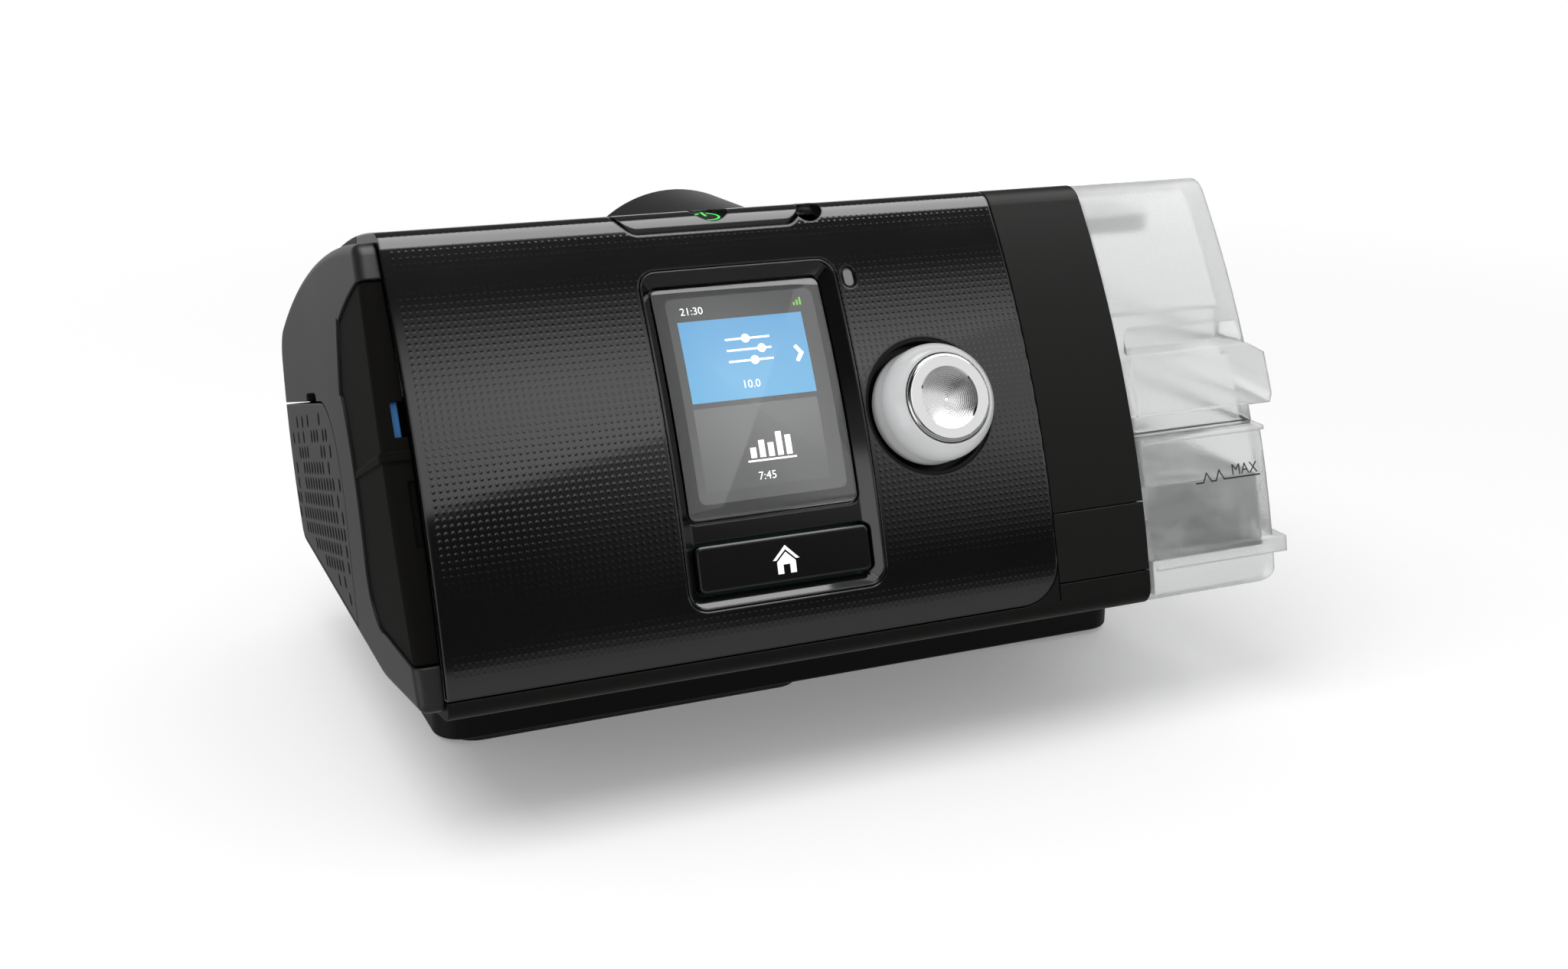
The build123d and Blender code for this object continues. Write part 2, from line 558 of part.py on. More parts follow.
# ---- rear housing: roof and rear wall, with the round hood over the air outlet ----
with BuildPart() as rear_housing:
    back_y = FASCIA_BACK_Y + SEAM
    rear_outline = [(back_y, SPLIT_Z + SEAM), (120, SPLIT_Z + SEAM), (120, 160), (back_y, 160)]
    with BuildSketch(Plane.YZ.offset(CASE_X0)):
        add(skin_section(0, WALL, rear_outline))
    extrude(amount=FASCIA_X1 - CASE_X0)
    # hood
    with BuildSketch(Plane.XZ.offset(-HOOD_Y1)):
        with Locations((OUT_X, OUT_Z)):
            Circle(HOOD_R)
    extrude(amount=HOOD_Y1)
    fillet(rear_housing.faces().sort_by(Axis.Y)[-1].edges(), 1.6)
    with BuildSketch(Plane.XZ.offset(-HOOD_Y1 + WALL)):
        with Locations((OUT_X, OUT_Z)):
            Circle(HOOD_R - WALL)
    extrude(amount=HOOD_Y1 - WALL, mode=Mode.SUBTRACT)
    with BuildSketch(Plane.YZ.offset(CASE_X0 - 1)):
        add(body_section(WALL))
    extrude(amount=FASCIA_X1 - CASE_X0 + 2, mode=Mode.SUBTRACT)
    # cup round the outlet neck
    with BuildSketch(Plane.XZ.offset(-HOOD_Y1)):
        with Locations((OUT_X, OUT_Z)):
            Circle(CUFF_R + 2)
    extrude(amount=HOOD_Y1 - CUFF_Y0 + 2)
    with BuildSketch(Plane.XZ.offset(-HOOD_Y1)):
        with Locations((OUT_X, OUT_Z)):
            Circle(CUFF_R)
    extrude(amount=HOOD_Y1 - CUFF_Y0, mode=Mode.SUBTRACT)
    with BuildSketch(Plane.XZ.offset(-HOOD_Y1)):
        with Locations((OUT_X, OUT_Z)):
            Circle(OUT_COLLAR_R + 0.05)
    extrude(amount=20, mode=Mode.SUBTRACT)
    # ears of the cord clip
    with BuildSketch(Plane.YZ.offset(INLET_X)):
        with Locations(((REAR_Y + CLIP_Y) / 2 + 0.4, CLIP_Z)):
            SlotOverall(CLIP_Y - REAR_Y + 3.6, 3.6)
    extrude(amount=13, both=True)
    with BuildSketch(Plane.YZ.offset(INLET_X)):
        with Locations((CLIP_Y, CLIP_Z)):
            Rectangle(8, 5)
    extrude(amount=11.2, both=True, mode=Mode.SUBTRACT)
    with BuildSketch(Plane.YZ.offset(INLET_X)):
        with Locations((CLIP_Y, CLIP_Z)):
            Circle(1.05)
    extrude(amount=20, both=True, mode=Mode.SUBTRACT)
    with BuildSketch(Plane.XZ.offset(-REAR_Y - 1)):
        with Locations((INLET_X, REAR_Z)):
            Rectangle(INLET_W, INLET_H)
        with Locations(((ADAPTER_X0 + ADAPTER_X1) / 2 - 0.05, REAR_Z)):
            Rectangle(ADAPTER_X1 - ADAPTER_X0 + 0.9, ADAPTER_H + 0.6)
    extrude(amount=5, mode=Mode.SUBTRACT)
    with Locations((ADAPTER_AXIS_X, ADAPTER_AXIS_Y, REAR_Z)):
        Cylinder(PIN_R + 0.05, ADAPTER_H + 3.6, mode=Mode.SUBTRACT)
rear_housing.part.label = "rear_housing"
export_step(rear_housing.part, "parts/rear_housing.step")

# ---- side cover with its two doors, cut from one bowed blank ----
with BuildPart() as side_blank:
    with BuildSketch(Plane.YZ.offset(LEFT_X - 1)):
        add(body_section(SIDE_STEP))
    extrude(amount=SIDE_X1 - LEFT_X + 1)
    with BuildSketch(Plane.XZ.offset(-100)):
        with Locations((LEFT_X + SIDE_R, SIDE_MID_Z)):
            Circle(SIDE_R)
    extrude(amount=200, mode=Mode.INTERSECT)
    fillet(side_blank.faces().sort_by(Axis.X)[0].outer_wire().edges(), 2.2)
with BuildPart() as door_blank:
    with BuildSketch(Plane.YZ.offset(LEFT_X - 1)):
        add(body_section(SIDE_STEP + DOOR_STEP))
    extrude(amount=SIDE_X1 - LEFT_X + 2)
    with BuildSketch(Plane.XZ.offset(-100)):
        with Locations((LEFT_X + SIDE_R, SIDE_MID_Z)):
            Circle(SIDE_R - DOOR_STEP)
    extrude(amount=200, mode=Mode.INTERSECT)
    fillet(door_blank.faces().sort_by(Axis.X)[0].outer_wire().edges(), 1.5)
with BuildPart() as side_core:
    with BuildSketch(Plane.YZ.offset(LEFT_X - 1)):
        add(body_section(SIDE_STEP + SIDE_WALL))
    extrude(amount=SIDE_X1 - LEFT_X + 2)
    with BuildSketch(Plane.XZ.offset(-100)):
        with Locations((LEFT_X + SIDE_R, SIDE_MID_Z)):
            Circle(SIDE_R - SIDE_WALL)
    extrude(amount=200, mode=Mode.INTERSECT)
with BuildPart() as side_shell:
    add(side_blank.part)
    add(side_core.part, mode=Mode.SUBTRACT)

with BuildSketch() as card_shape:
    with BuildLine():
        upper = ThreePointArc((-42, 109), (-29.2, 102.6), (CARD_EDGE_Y, 94.4))
        hinge_edge = Line(upper @ 1, (CARD_EDGE_Y, 81.6))
        bulge = ThreePointArc(hinge_edge @ 1, (-23.2, 74.2), (-28.1, 63.8))
        flank = TangentArc(bulge @ 1, (-30.4, 45.5), tangent=bulge % 1)
        toe = TangentArc(flank @ 1, (-43.4, 36), tangent=flank % 1)
        Polyline(toe @ 1, (-73.4, 39), (-90, 40.7), (-90, 109), (-42, 109))
    make_face()
with BuildSketch() as filter_shape:
    with BuildLine():
        lid = Line((80, 54.0), (8, 71.95))
        shoulder = TangentArc(lid @ 1, (-9.0, 65.0), tangent=lid % 1)
        flank = TangentArc(shoulder @ 1, (-12.9, 46.0), tangent=shoulder % 1)
        toe = TangentArc(flank @ 1, (-9.9, FILTER_Z0), tangent=flank % 1)
        Polyline(toe @ 1, (80, FILTER_Z0), (80, 54.0))
    make_face()
with BuildSketch() as door_gaps:
    add(card_shape.sketch)
    add(filter_shape.sketch)
    offset(amount=DOOR_GAP)
    # relief beside the card hinge, and the finger notch over the filter door
    with Locations((CARD_AXIS_Y - 0.65, 87.9)):
        Rectangle(4.0, 16.4)
    with Locations(Location((20, 69.6), -14.0)):
        SlotOverall(14, 3.6)

with BuildPart() as side_cover:
    add(side_shell.part)
    with BuildSketch(Plane.YZ.offset(LEFT_X - 2)):
        add(door_gaps.sketch_local)
    extrude(amount=20, mode=Mode.SUBTRACT)
    # lip that reaches under the roof of the casing
    with BuildSketch(Plane.YZ.offset(-100.6)):
        add(skin_section(WALL, WALL + 1.5, [(-12, 92), (-12, 140), (45, 140), (45, 78)]))
    extrude(amount=6.6)
    # bearing holes of the hinge pins
    with Locations((CARD_AXIS_X, CARD_AXIS_Y, 88)):
        Cylinder(PIN_R + 0.05, 20, mode=Mode.SUBTRACT)
    with Locations((FILTER_AXIS_X, 18, FILTER_AXIS_Z)):
        Cylinder(PIN_R + 0.05, 64, rotation=(90, 0, 0), mode=Mode.SUBTRACT)
side_cover.part.label = "side_cover"
export_step(side_cover.part, "parts/side_cover.step")

with BuildPart() as card_relief:
    # skin taken off the card door, all but the raised grip rib
    add(side_blank.part)
    add(door_blank.part, mode=Mode.SUBTRACT)
    with BuildSketch(Plane.YZ.offset(LEFT_X - 2)):
        with BuildLine():
            Polyline((-29.0, 64.9), (-30.6, 67.0), (-56.5, 77.9), (-90, 78.5), (-90, 76.6), (-57.5, 76.2),
                     close=True)
        make_face()
    extrude(amount=20, mode=Mode.SUBTRACT)

with BuildPart() as card_cover:
    add(side_shell.part)
    with BuildSketch(Plane.YZ.offset(LEFT_X - 2)):
        add(card_shape.sketch_local)
    extrude(amount=20, mode=Mode.INTERSECT)
    add(card_relief.part, mode=Mode.SUBTRACT)
    # notch for the edge of the card, and the shallow slot below it
    with BuildSketch(Plane.XZ.offset(40)):
        with Locations((SIDE_X1, 83.0)):
            Rectangle(5.2, 6.4)
    extrude(amount=50, mode=Mode.SUBTRACT)
    with BuildSketch(face_plane(SIDE_X1, 22.2).offset(-SIDE_STEP - DOOR_STEP - 0.6)):
        Rectangle(2.8, 13.0)
    extrude(amount=4, mode=Mode.SUBTRACT)
    # the front strip is thin where it passes the card
    with BuildSketch(Plane.YZ.offset(CARD_X - CARD_T / 2 - 0.4)):
        add(skin_section(CARD_DEPTH - 0.4, CARD_DEPTH + 4.0, face_outline(CARD_LEAN - 4.0, CARD_LEAN + 4.0)))
    extrude(amount=10, mode=Mode.SUBTRACT)
    with Locations((CARD_AXIS_X, CARD_AXIS_Y, 88)):
        Cylinder(PIN_R, 20, mode=Mode.SUBTRACT)
card_cover.part.label = "card_cover"
export_step(card_cover.part, "parts/card_cover.step")

with BuildPart() as card_hinge_pin:
    with Locations((CARD_AXIS_X, CARD_AXIS_Y, 88)):
        Cylinder(PIN_R, 19.4)
card_hinge_pin.part.label = "card_hinge_pin"
export_step(card_hinge_pin.part, "parts/card_hinge_pin.step")

# rows of short vents, front to rear, dropping towards the rear
VENTS = ("-----#---#-#-#---",
         "---##-###--#-#-#-",
         "--#-##----####---",
         "---#-########--#-",
         "#-###########--#-",
         "-#-###########-##",
         "#-#############-#",
         "#################",
         "#-#############--",
         "#-############---",
         "--#-########-----",
         "-#-#--#----------",
         "#--##------------")
vent_spots = [(-8.5 + 4.1 * j, 70.6 - 3.85 * i - 0.277 * (-8.5 + 4.1 * j))
              for i, row in enumerate(VENTS) for j, mark in enumerate(row) if mark == "#"]
with BuildPart() as filter_cover:
    add(side_shell.part)
    with BuildSketch(Plane.YZ.offset(LEFT_X - 2)):
        add(filter_shape.sketch_local)
    extrude(amount=20, mode=Mode.INTERSECT)
    with BuildSketch(Plane.YZ.offset(LEFT_X - 2)):
        with Locations(*[spot for spot in vent_spots if spot[1] > FILTER_AXIS_Z + 2.4]):
            SlotOverall(3.1, 2.2, rotation=90)
    extrude(amount=4.9, mode=Mode.SUBTRACT)
    # the rear return stays clear of the casing when the door drops open
    with Locations((SIDE_X1, 60, 22)):
        Box(3.2, 12, 10, mode=Mode.SUBTRACT)
    with Locations((FILTER_AXIS_X, 18, FILTER_AXIS_Z)):
        Cylinder(PIN_R, 70, rotation=(90, 0, 0), mode=Mode.SUBTRACT)
filter_cover.part.label = "filter_cover"
export_step(filter_cover.part, "parts/filter_cover.step")

with BuildPart() as filter_hinge_pin:
    with Locations((FILTER_AXIS_X, 18, FILTER_AXIS_Z)):
        Cylinder(PIN_R, 62, rotation=(90, 0, 0))
filter_hinge_pin.part.label = "filter_hinge_pin"
export_step(filter_hinge_pin.part, "parts/filter_hinge_pin.step")

# ---- memory card in its reader, edge on behind the notch of the card door ----
card_lean = radians(CARD_LEAN)
card_y, card_z = face_yz(CARD_LEAN, CARD_DEPTH)
card_plane = Plane(origin=(CARD_X, card_y, card_z), x_dir=(0, cos(card_lean), -sin(card_lean)), z_dir=(1, 0, 0))

with BuildPart() as memory_card:
    with BuildSketch(card_plane.offset(-CARD_T / 2)):
        with BuildLine():
            Polyline((0, -CARD_W / 2), (0, CARD_W / 2), (CARD_L, CARD_W / 2), (CARD_L, -CARD_W / 2 + 3),
                     (CARD_L - 3, -CARD_W / 2), close=True)
        make_face()
    extrude(amount=CARD_T)
memory_card.part.label = "memory_card"
export_step(memory_card.part, "parts/memory_card.step")

with BuildPart() as card_reader:
    with BuildSketch(card_plane.offset(-CARD_T / 2 - 0.45)):
        with Locations((8.0, 0)):
            Rectangle(CARD_L - 2.0, CARD_W + 3.0, align=(Align.MIN, Align.CENTER))
    extrude(amount=CARD_T + 1.0)
    with BuildSketch(card_plane.offset(-CARD_T / 2 - 0.1)):
        with Locations((0, 0)):
            Rectangle(CARD_L + 2.2, CARD_W + 0.4, align=(Align.MIN, Align.CENTER))
    extrude(amount=CARD_T + 0.2, mode=Mode.SUBTRACT)
    # bracket to the main board
    with BuildSketch(card_plane.offset(CARD_T / 2 + 0.4)):
        with Locations((18.0, 0)):
            Rectangle(8.0, CARD_W - 6.0)
    extrude(amount=-92.0 - CARD_X - CARD_T / 2 - 0.4)
card_reader.part.label = "card_reader"
export_step(card_reader.part, "parts/card_reader.step")

# ---- intake: filter pad in its tray, and the sound foam behind ----
with BuildPart() as air_filter:
    with BuildSketch(Plane.YZ.offset(-98.0)):
        with Locations((18, 43)):
            RectangleRounded(50, 24, 3)
    extrude(amount=4.5)
air_filter.part.label = "air_filter"
export_step(air_filter.part, "parts/air_filter.step")

with BuildPart() as filter_tray:
    with BuildSketch(Plane.YZ.offset(-93.5)):
        with Locations((18, 40.5)):
            Rectangle(58, 35.2)
        with Locations((18, 43)):
            with GridLocations(15.2, 11.2, 3, 2):
                RectangleRounded(13, 9, 1.5, mode=Mode.SUBTRACT)
    extrude(amount=1.5)
filter_tray.part.label = "filter_tray"
export_step(filter_tray.part, "parts/filter_tray.step")

with BuildPart() as inlet_foam:
    with BuildSketch(Plane.XY.offset(UNDER_Z + WALL)):
        with Locations((-82, 47)):
            RectangleRounded(18, 22, 3)
    extrude(amount=32)
inlet_foam.part.label = "inlet_foam"
export_step(inlet_foam.part, "parts/inlet_foam.step")

# ---- air outlet: duct from the bay, flat seal, and the neck the hose slips over ----
with BuildPart() as outlet_duct:
    with BuildSketch(Plane.XZ.offset(-BAY_Y1)):
        with Locations((OUT_X, OUT_Z)):
            Circle(OUT_BORE + 2)
            Circle(OUT_BORE, mode=Mode.SUBTRACT)
    extrude(amount=-11.0)
    with BuildSketch(Plane.XZ.offset(-BAY_Y1)):
        with Locations((OUT_X, OUT_Z)):
            Circle(OUT_BORE + 5)
            Circle(OUT_BORE, mode=Mode.SUBTRACT)
    extrude(amount=-1.5)
outlet_duct.part.label = "outlet_duct"
export_step(outlet_duct.part, "parts/outlet_duct.step")

with BuildPart() as outlet_seal:
    with BuildSketch(Plane.XZ.offset(-BAY_Y1 - 11.0)):
        with Locations((OUT_X, OUT_Z)):
            Circle(OUT_BORE + 4)
            Circle(OUT_BORE, mode=Mode.SUBTRACT)
    extrude(amount=-1.0)
outlet_seal.part.label = "outlet_seal"
export_step(outlet_seal.part, "parts/outlet_seal.step")

with BuildPart() as outlet_connector:
    with BuildSketch(Plane.XZ.offset(-BAY_Y1 - 12.0)):
        with Locations((OUT_X, OUT_Z)):
            Circle(OUT_R + 2)
    extrude(amount=-2.0)
    with BuildSketch(Plane.XZ.offset(-BAY_Y1 - 12.0)):
        with Locations((OUT_X, OUT_Z)):
            Circle(OUT_COLLAR_R)
    extrude(amount=-(OUT_COLLAR_Y1 - BAY_Y1 - 12.0))
    with BuildSketch(Plane.XZ.offset(-BAY_Y1 - 12.0)):
        with Locations((OUT_X, OUT_Z)):
            Circle(OUT_R)
    extrude(amount=-(OUT_END_Y - BAY_Y1 - 12.0))
    fillet(outlet_connector.faces().sort_by(Axis.Y)[-1].edges(), 0.6)
    with BuildSketch(Plane.XZ.offset(-BAY_Y1 - 12.0)):
        with Locations((OUT_X, OUT_Z)):
            Circle(OUT_BORE)
    extrude(amount=-40, mode=Mode.SUBTRACT)
outlet_connector.part.label = "outlet_connector"
export_step(outlet_connector.part, "parts/outlet_connector.step")

# ---- power inlet with its pins, and the clip that holds the plug ----
with BuildPart() as power_inlet:
    with BuildSketch(Plane.XZ.offset(-REAR_Y)):
        with Locations((INLET_X, REAR_Z)):
            Rectangle(INLET_W, INLET_H)
    extrude(amount=12)
    with BuildSketch(Plane.XZ.offset(-REAR_Y + WALL)):
        with Locations((INLET_X, REAR_Z)):
            Rectangle(INLET_W + 3, INLET_H + 3)
    extrude(amount=2)
    with BuildSketch(Plane.XZ.offset(-REAR_Y)):
        with Locations((INLET_X, REAR_Z)):
            RectangleRounded(10, 6, 1)
    extrude(amount=9, mode=Mode.SUBTRACT)
power_inlet.part.label = "power_inlet"
export_step(power_inlet.part, "parts/power_inlet.step")

with BuildPart() as power_pins:
    with BuildSketch(Plane.XZ.offset(-REAR_Y + 9)):
        with Locations((INLET_X - 2.6, REAR_Z), (INLET_X, REAR_Z), (INLET_X + 2.6, REAR_Z)):
            Circle(0.7)
    extrude(amount=-7)
power_pins.part.label = "power_pins"
export_step(power_pins.part, "parts/power_pins.step")

with BuildPart() as retention_clip:
    with BuildSketch(Plane.XZ.offset(-CLIP_Y - 1)):
        with Locations((INLET_X, CLIP_Z - 0.9)):
            RectangleRounded(20.4, 17.6, 2, align=(Align.CENTER, Align.MIN))
        with Locations((INLET_X, CLIP_Z + 1.6)):
            RectangleRounded(14.4, 12.2, 1.5, align=(Align.CENTER, Align.MIN), mode=Mode.SUBTRACT)
    extrude(amount=2)
    with BuildSketch(Plane.YZ.offset(INLET_X)):
        with Locations((CLIP_Y, CLIP_Z)):
            Circle(1.0)
    extrude(amount=12.6, both=True)
retention_clip.part.label = "retention_clip"
export_step(retention_clip.part, "parts/retention_clip.step")

# ---- hinged cover over the accessory socket ----
with BuildPart() as adapter_cover:
    with BuildSketch(Plane.XZ.offset(-REAR_Y)):
        with Locations(((ADAPTER_X0 + ADAPTER_X1) / 2, REAR_Z)):
            RectangleRounded(ADAPTER_X1 - ADAPTER_X0, ADAPTER_H, 0.8)
        with Locations((ADAPTER_X1, REAR_Z)):
            Circle(2.2, mode=Mode.SUBTRACT)
    extrude(amount=2.0)
    with Locations((ADAPTER_AXIS_X, ADAPTER_AXIS_Y, REAR_Z)):
        Cylinder(PIN_R, ADAPTER_H + 3.0)
adapter_cover.part.label = "adapter_cover"
export_step(adapter_cover.part, "parts/adapter_cover.step")

with BuildPart() as accessory_socket:
    with BuildSketch(Plane.XZ.offset(-REAR_Y + 4.0)):
        with Locations(((ADAPTER_X0 + ADAPTER_X1) / 2, REAR_Z)):
            RectangleRounded(16, 9, 1)
    extrude(amount=7)
    with BuildSketch(Plane.XZ.offset(-REAR_Y + 4.0)):
        with Locations(((ADAPTER_X0 + ADAPTER_X1) / 2, REAR_Z)):
            Rectangle(13, 4)
    extrude(amount=3.5, mode=Mode.SUBTRACT)
accessory_socket.part.label = "accessory_socket"
export_step(accessory_socket.part, "parts/accessory_socket.step")

# ---- tub bay: open box in the casing, with the heater in its floor ----
with BuildPart() as tub_bay:
    with BuildSketch(Plane.YZ.offset(BAY_X0 - BAY_WALL)):
        add(bay_section())
    extrude(amount=BAND_X1 - BAY_X0 + BAY_WALL)
    with BuildSketch(Plane.YZ.offset(BAY_X0)):
        add(bay_section(BAY_WALL))
    extrude(amount=BAND_X1 - BAY_X0, mode=Mode.SUBTRACT)
    with BuildSketch(Plane.XY.offset(BAY_Z0)):
        with Locations(((HEATER_X0 + HEATER_X1) / 2, (HEATER_Y0 + HEATER_Y1) / 2)):
            RectangleRounded(HEATER_X1 - HEATER_X0, HEATER_Y1 - HEATER_Y0, 4)
    extrude(amount=BAY_WALL, mode=Mode.SUBTRACT)
    with BuildSketch(Plane.YZ.offset(BAY_X0 - BAY_WALL)):
        with Locations((INLET_Y, PORT_Z)):
            Circle(PORT_R)
    extrude(amount=BAY_WALL, mode=Mode.SUBTRACT)
    with BuildSketch(Plane.XZ.offset(-BAY_Y1)):
        with Locations((OUT_X, OUT_Z)):
            Circle(OUT_BORE)
    extrude(amount=BAY_WALL, mode=Mode.SUBTRACT)
tub_bay.part.label = "tub_bay"
export_step(tub_bay.part, "parts/tub_bay.step")

with BuildPart() as heater_insulator:
    with BuildSketch(Plane.XY.offset(UNDER_Z + WALL)):
        with Locations(((HEATER_X0 + HEATER_X1) / 2, (HEATER_Y0 + HEATER_Y1) / 2)):
            RectangleRounded(HEATER_X1 - HEATER_X0 - 4, HEATER_Y1 - HEATER_Y0 - 4, 3)
    extrude(amount=1.5)
heater_insulator.part.label = "heater_insulator"
export_step(heater_insulator.part, "parts/heater_insulator.step")

with BuildPart() as heater_plate:
    with BuildSketch(Plane.XY.offset(UNDER_Z + WALL + 1.5)):
        with Locations(((HEATER_X0 + HEATER_X1) / 2, (HEATER_Y0 + HEATER_Y1) / 2)):
            RectangleRounded(HEATER_X1 - HEATER_X0, HEATER_Y1 - HEATER_Y0, 4)
    extrude(amount=3.3)
heater_plate.part.label = "heater_plate"
export_step(heater_plate.part, "parts/heater_plate.step")

# ---- water tub: base with a heat plate, seal, and a lid with the air ports ----
BLOCK_GAP = BAY_WALL + BAY_GAP
BLOCK_X0 = BAY_X0 + BAY_GAP
TUB_MID_X = TUB_X0 + TUB_WALL

with BuildPart() as tub_base:
    with BuildSketch(Plane.YZ.offset(BLOCK_X0)):
        add(bay_section(BLOCK_GAP))
    extrude(amount=TUB_X0 - BLOCK_X0)
    with BuildSketch(Plane.YZ.offset(TUB_X0)):
        add(skin_section(0.2, None, above(TUB_UNDER_Z)))
    extrude(amount=TUB_X1 - TUB_X0)
    fillet(tub_base.faces().sort_by(Axis.X)[-1].edges().sort_by(Axis.Z)[0], 4.5)
    # flange of the grip, and the rim under the seal
    with BuildSketch(Plane.YZ.offset(TUB_X0 + 1.6)):
        add(skin_section(-FLANGE_OUT, None, above(FLANGE_Z0, FLANGE_Z1)))
    extrude(amount=FLANGE_X1 - TUB_X0 - 1.6)
    with BuildSketch(Plane.YZ.offset(TUB_X0 + 1.6)):
        add(skin_section(-0.4, None, above(RIM_Z - 1.0, RIM_Z)))
    extrude(amount=TUB_X1 - TUB_X0 - 1.0)
    # water space
    with BuildSketch(Plane.YZ.offset(BLOCK_X0 + TUB_WALL)):
        add(bay_section(BLOCK_GAP + TUB_WALL))
    extrude(amount=TUB_MID_X - BLOCK_X0 - TUB_WALL, mode=Mode.SUBTRACT)
    with BuildSketch(Plane.YZ.offset(TUB_MID_X)):
        add(skin_section(TUB_WALL + 0.2, None, above(TUB_UNDER_Z + TUB_WALL)))
    extrude(amount=TUB_X1 - TUB_WALL - TUB_MID_X, mode=Mode.SUBTRACT)
    with Locations((30, 0, RIM_Z)):
        Box(200, 200, 100, align=(Align.CENTER, Align.CENTER, Align.MIN), mode=Mode.SUBTRACT)
    with BuildSketch(Plane.XY.offset(BAY_Z0)):
        with Locations(((HEATER_X0 + HEATER_X1) / 2, (HEATER_Y0 + HEATER_Y1) / 2)):
            RectangleRounded(HEATER_X1 - HEATER_X0, HEATER_Y1 - HEATER_Y0, 4)
    extrude(amount=8, mode=Mode.SUBTRACT)
tub_base.part.label = "tub_base"
export_step(tub_base.part, "parts/tub_base.step")

with BuildPart() as tub_plate:
    with BuildSketch(Plane.XY.offset(BAY_Z0 + BLOCK_GAP)):
        with Locations(((HEATER_X0 + HEATER_X1) / 2, (HEATER_Y0 + HEATER_Y1) / 2)):
            RectangleRounded(HEATER_X1 - HEATER_X0, HEATER_Y1 - HEATER_Y0, 4)
    extrude(amount=1.4)
tub_plate.part.label = "tub_plate"
export_step(tub_plate.part, "parts/tub_plate.step")

with BuildPart() as tub_seal:
    # ring along the rim, in plan
    rim_y0, rim_y1 = -FACE_CY, 0.0
    face_rim_y = FACE_CY - sqrt(FACE_R**2 - (RIM_Z - FACE_CZ) ** 2)
    block_y0, block_y1 = BAY_Y0 + BLOCK_GAP, BAY_Y1 - BLOCK_GAP
    with BuildSketch(Plane.XY.offset(RIM_Z)):
        for inset, mode in ((0.2, Mode.ADD), (1.6, Mode.SUBTRACT)):
            x0, x1 = BLOCK_X0 + inset, TUB_X1 - WAIST_IN - inset
            y0, y1 = face_rim_y + WAIST_IN + 0.4 + inset, REAR_Y - WAIST_IN - 0.4 - inset
            with BuildLine():
                Polyline((x0, block_y0 + inset), (TUB_X0 + inset, block_y0 + inset), (TUB_X0 + inset, y0), (x1, y0),
                         (x1, y1), (TUB_X0 + inset, y1), (TUB_X0 + inset, block_y1 - inset),
                         (x0, block_y1 - inset), close=True)
            make_face(mode=mode)
    extrude(amount=SEAL_T)
tub_seal.part.label = "tub_seal"
export_step(tub_seal.part, "parts/tub_seal.step")

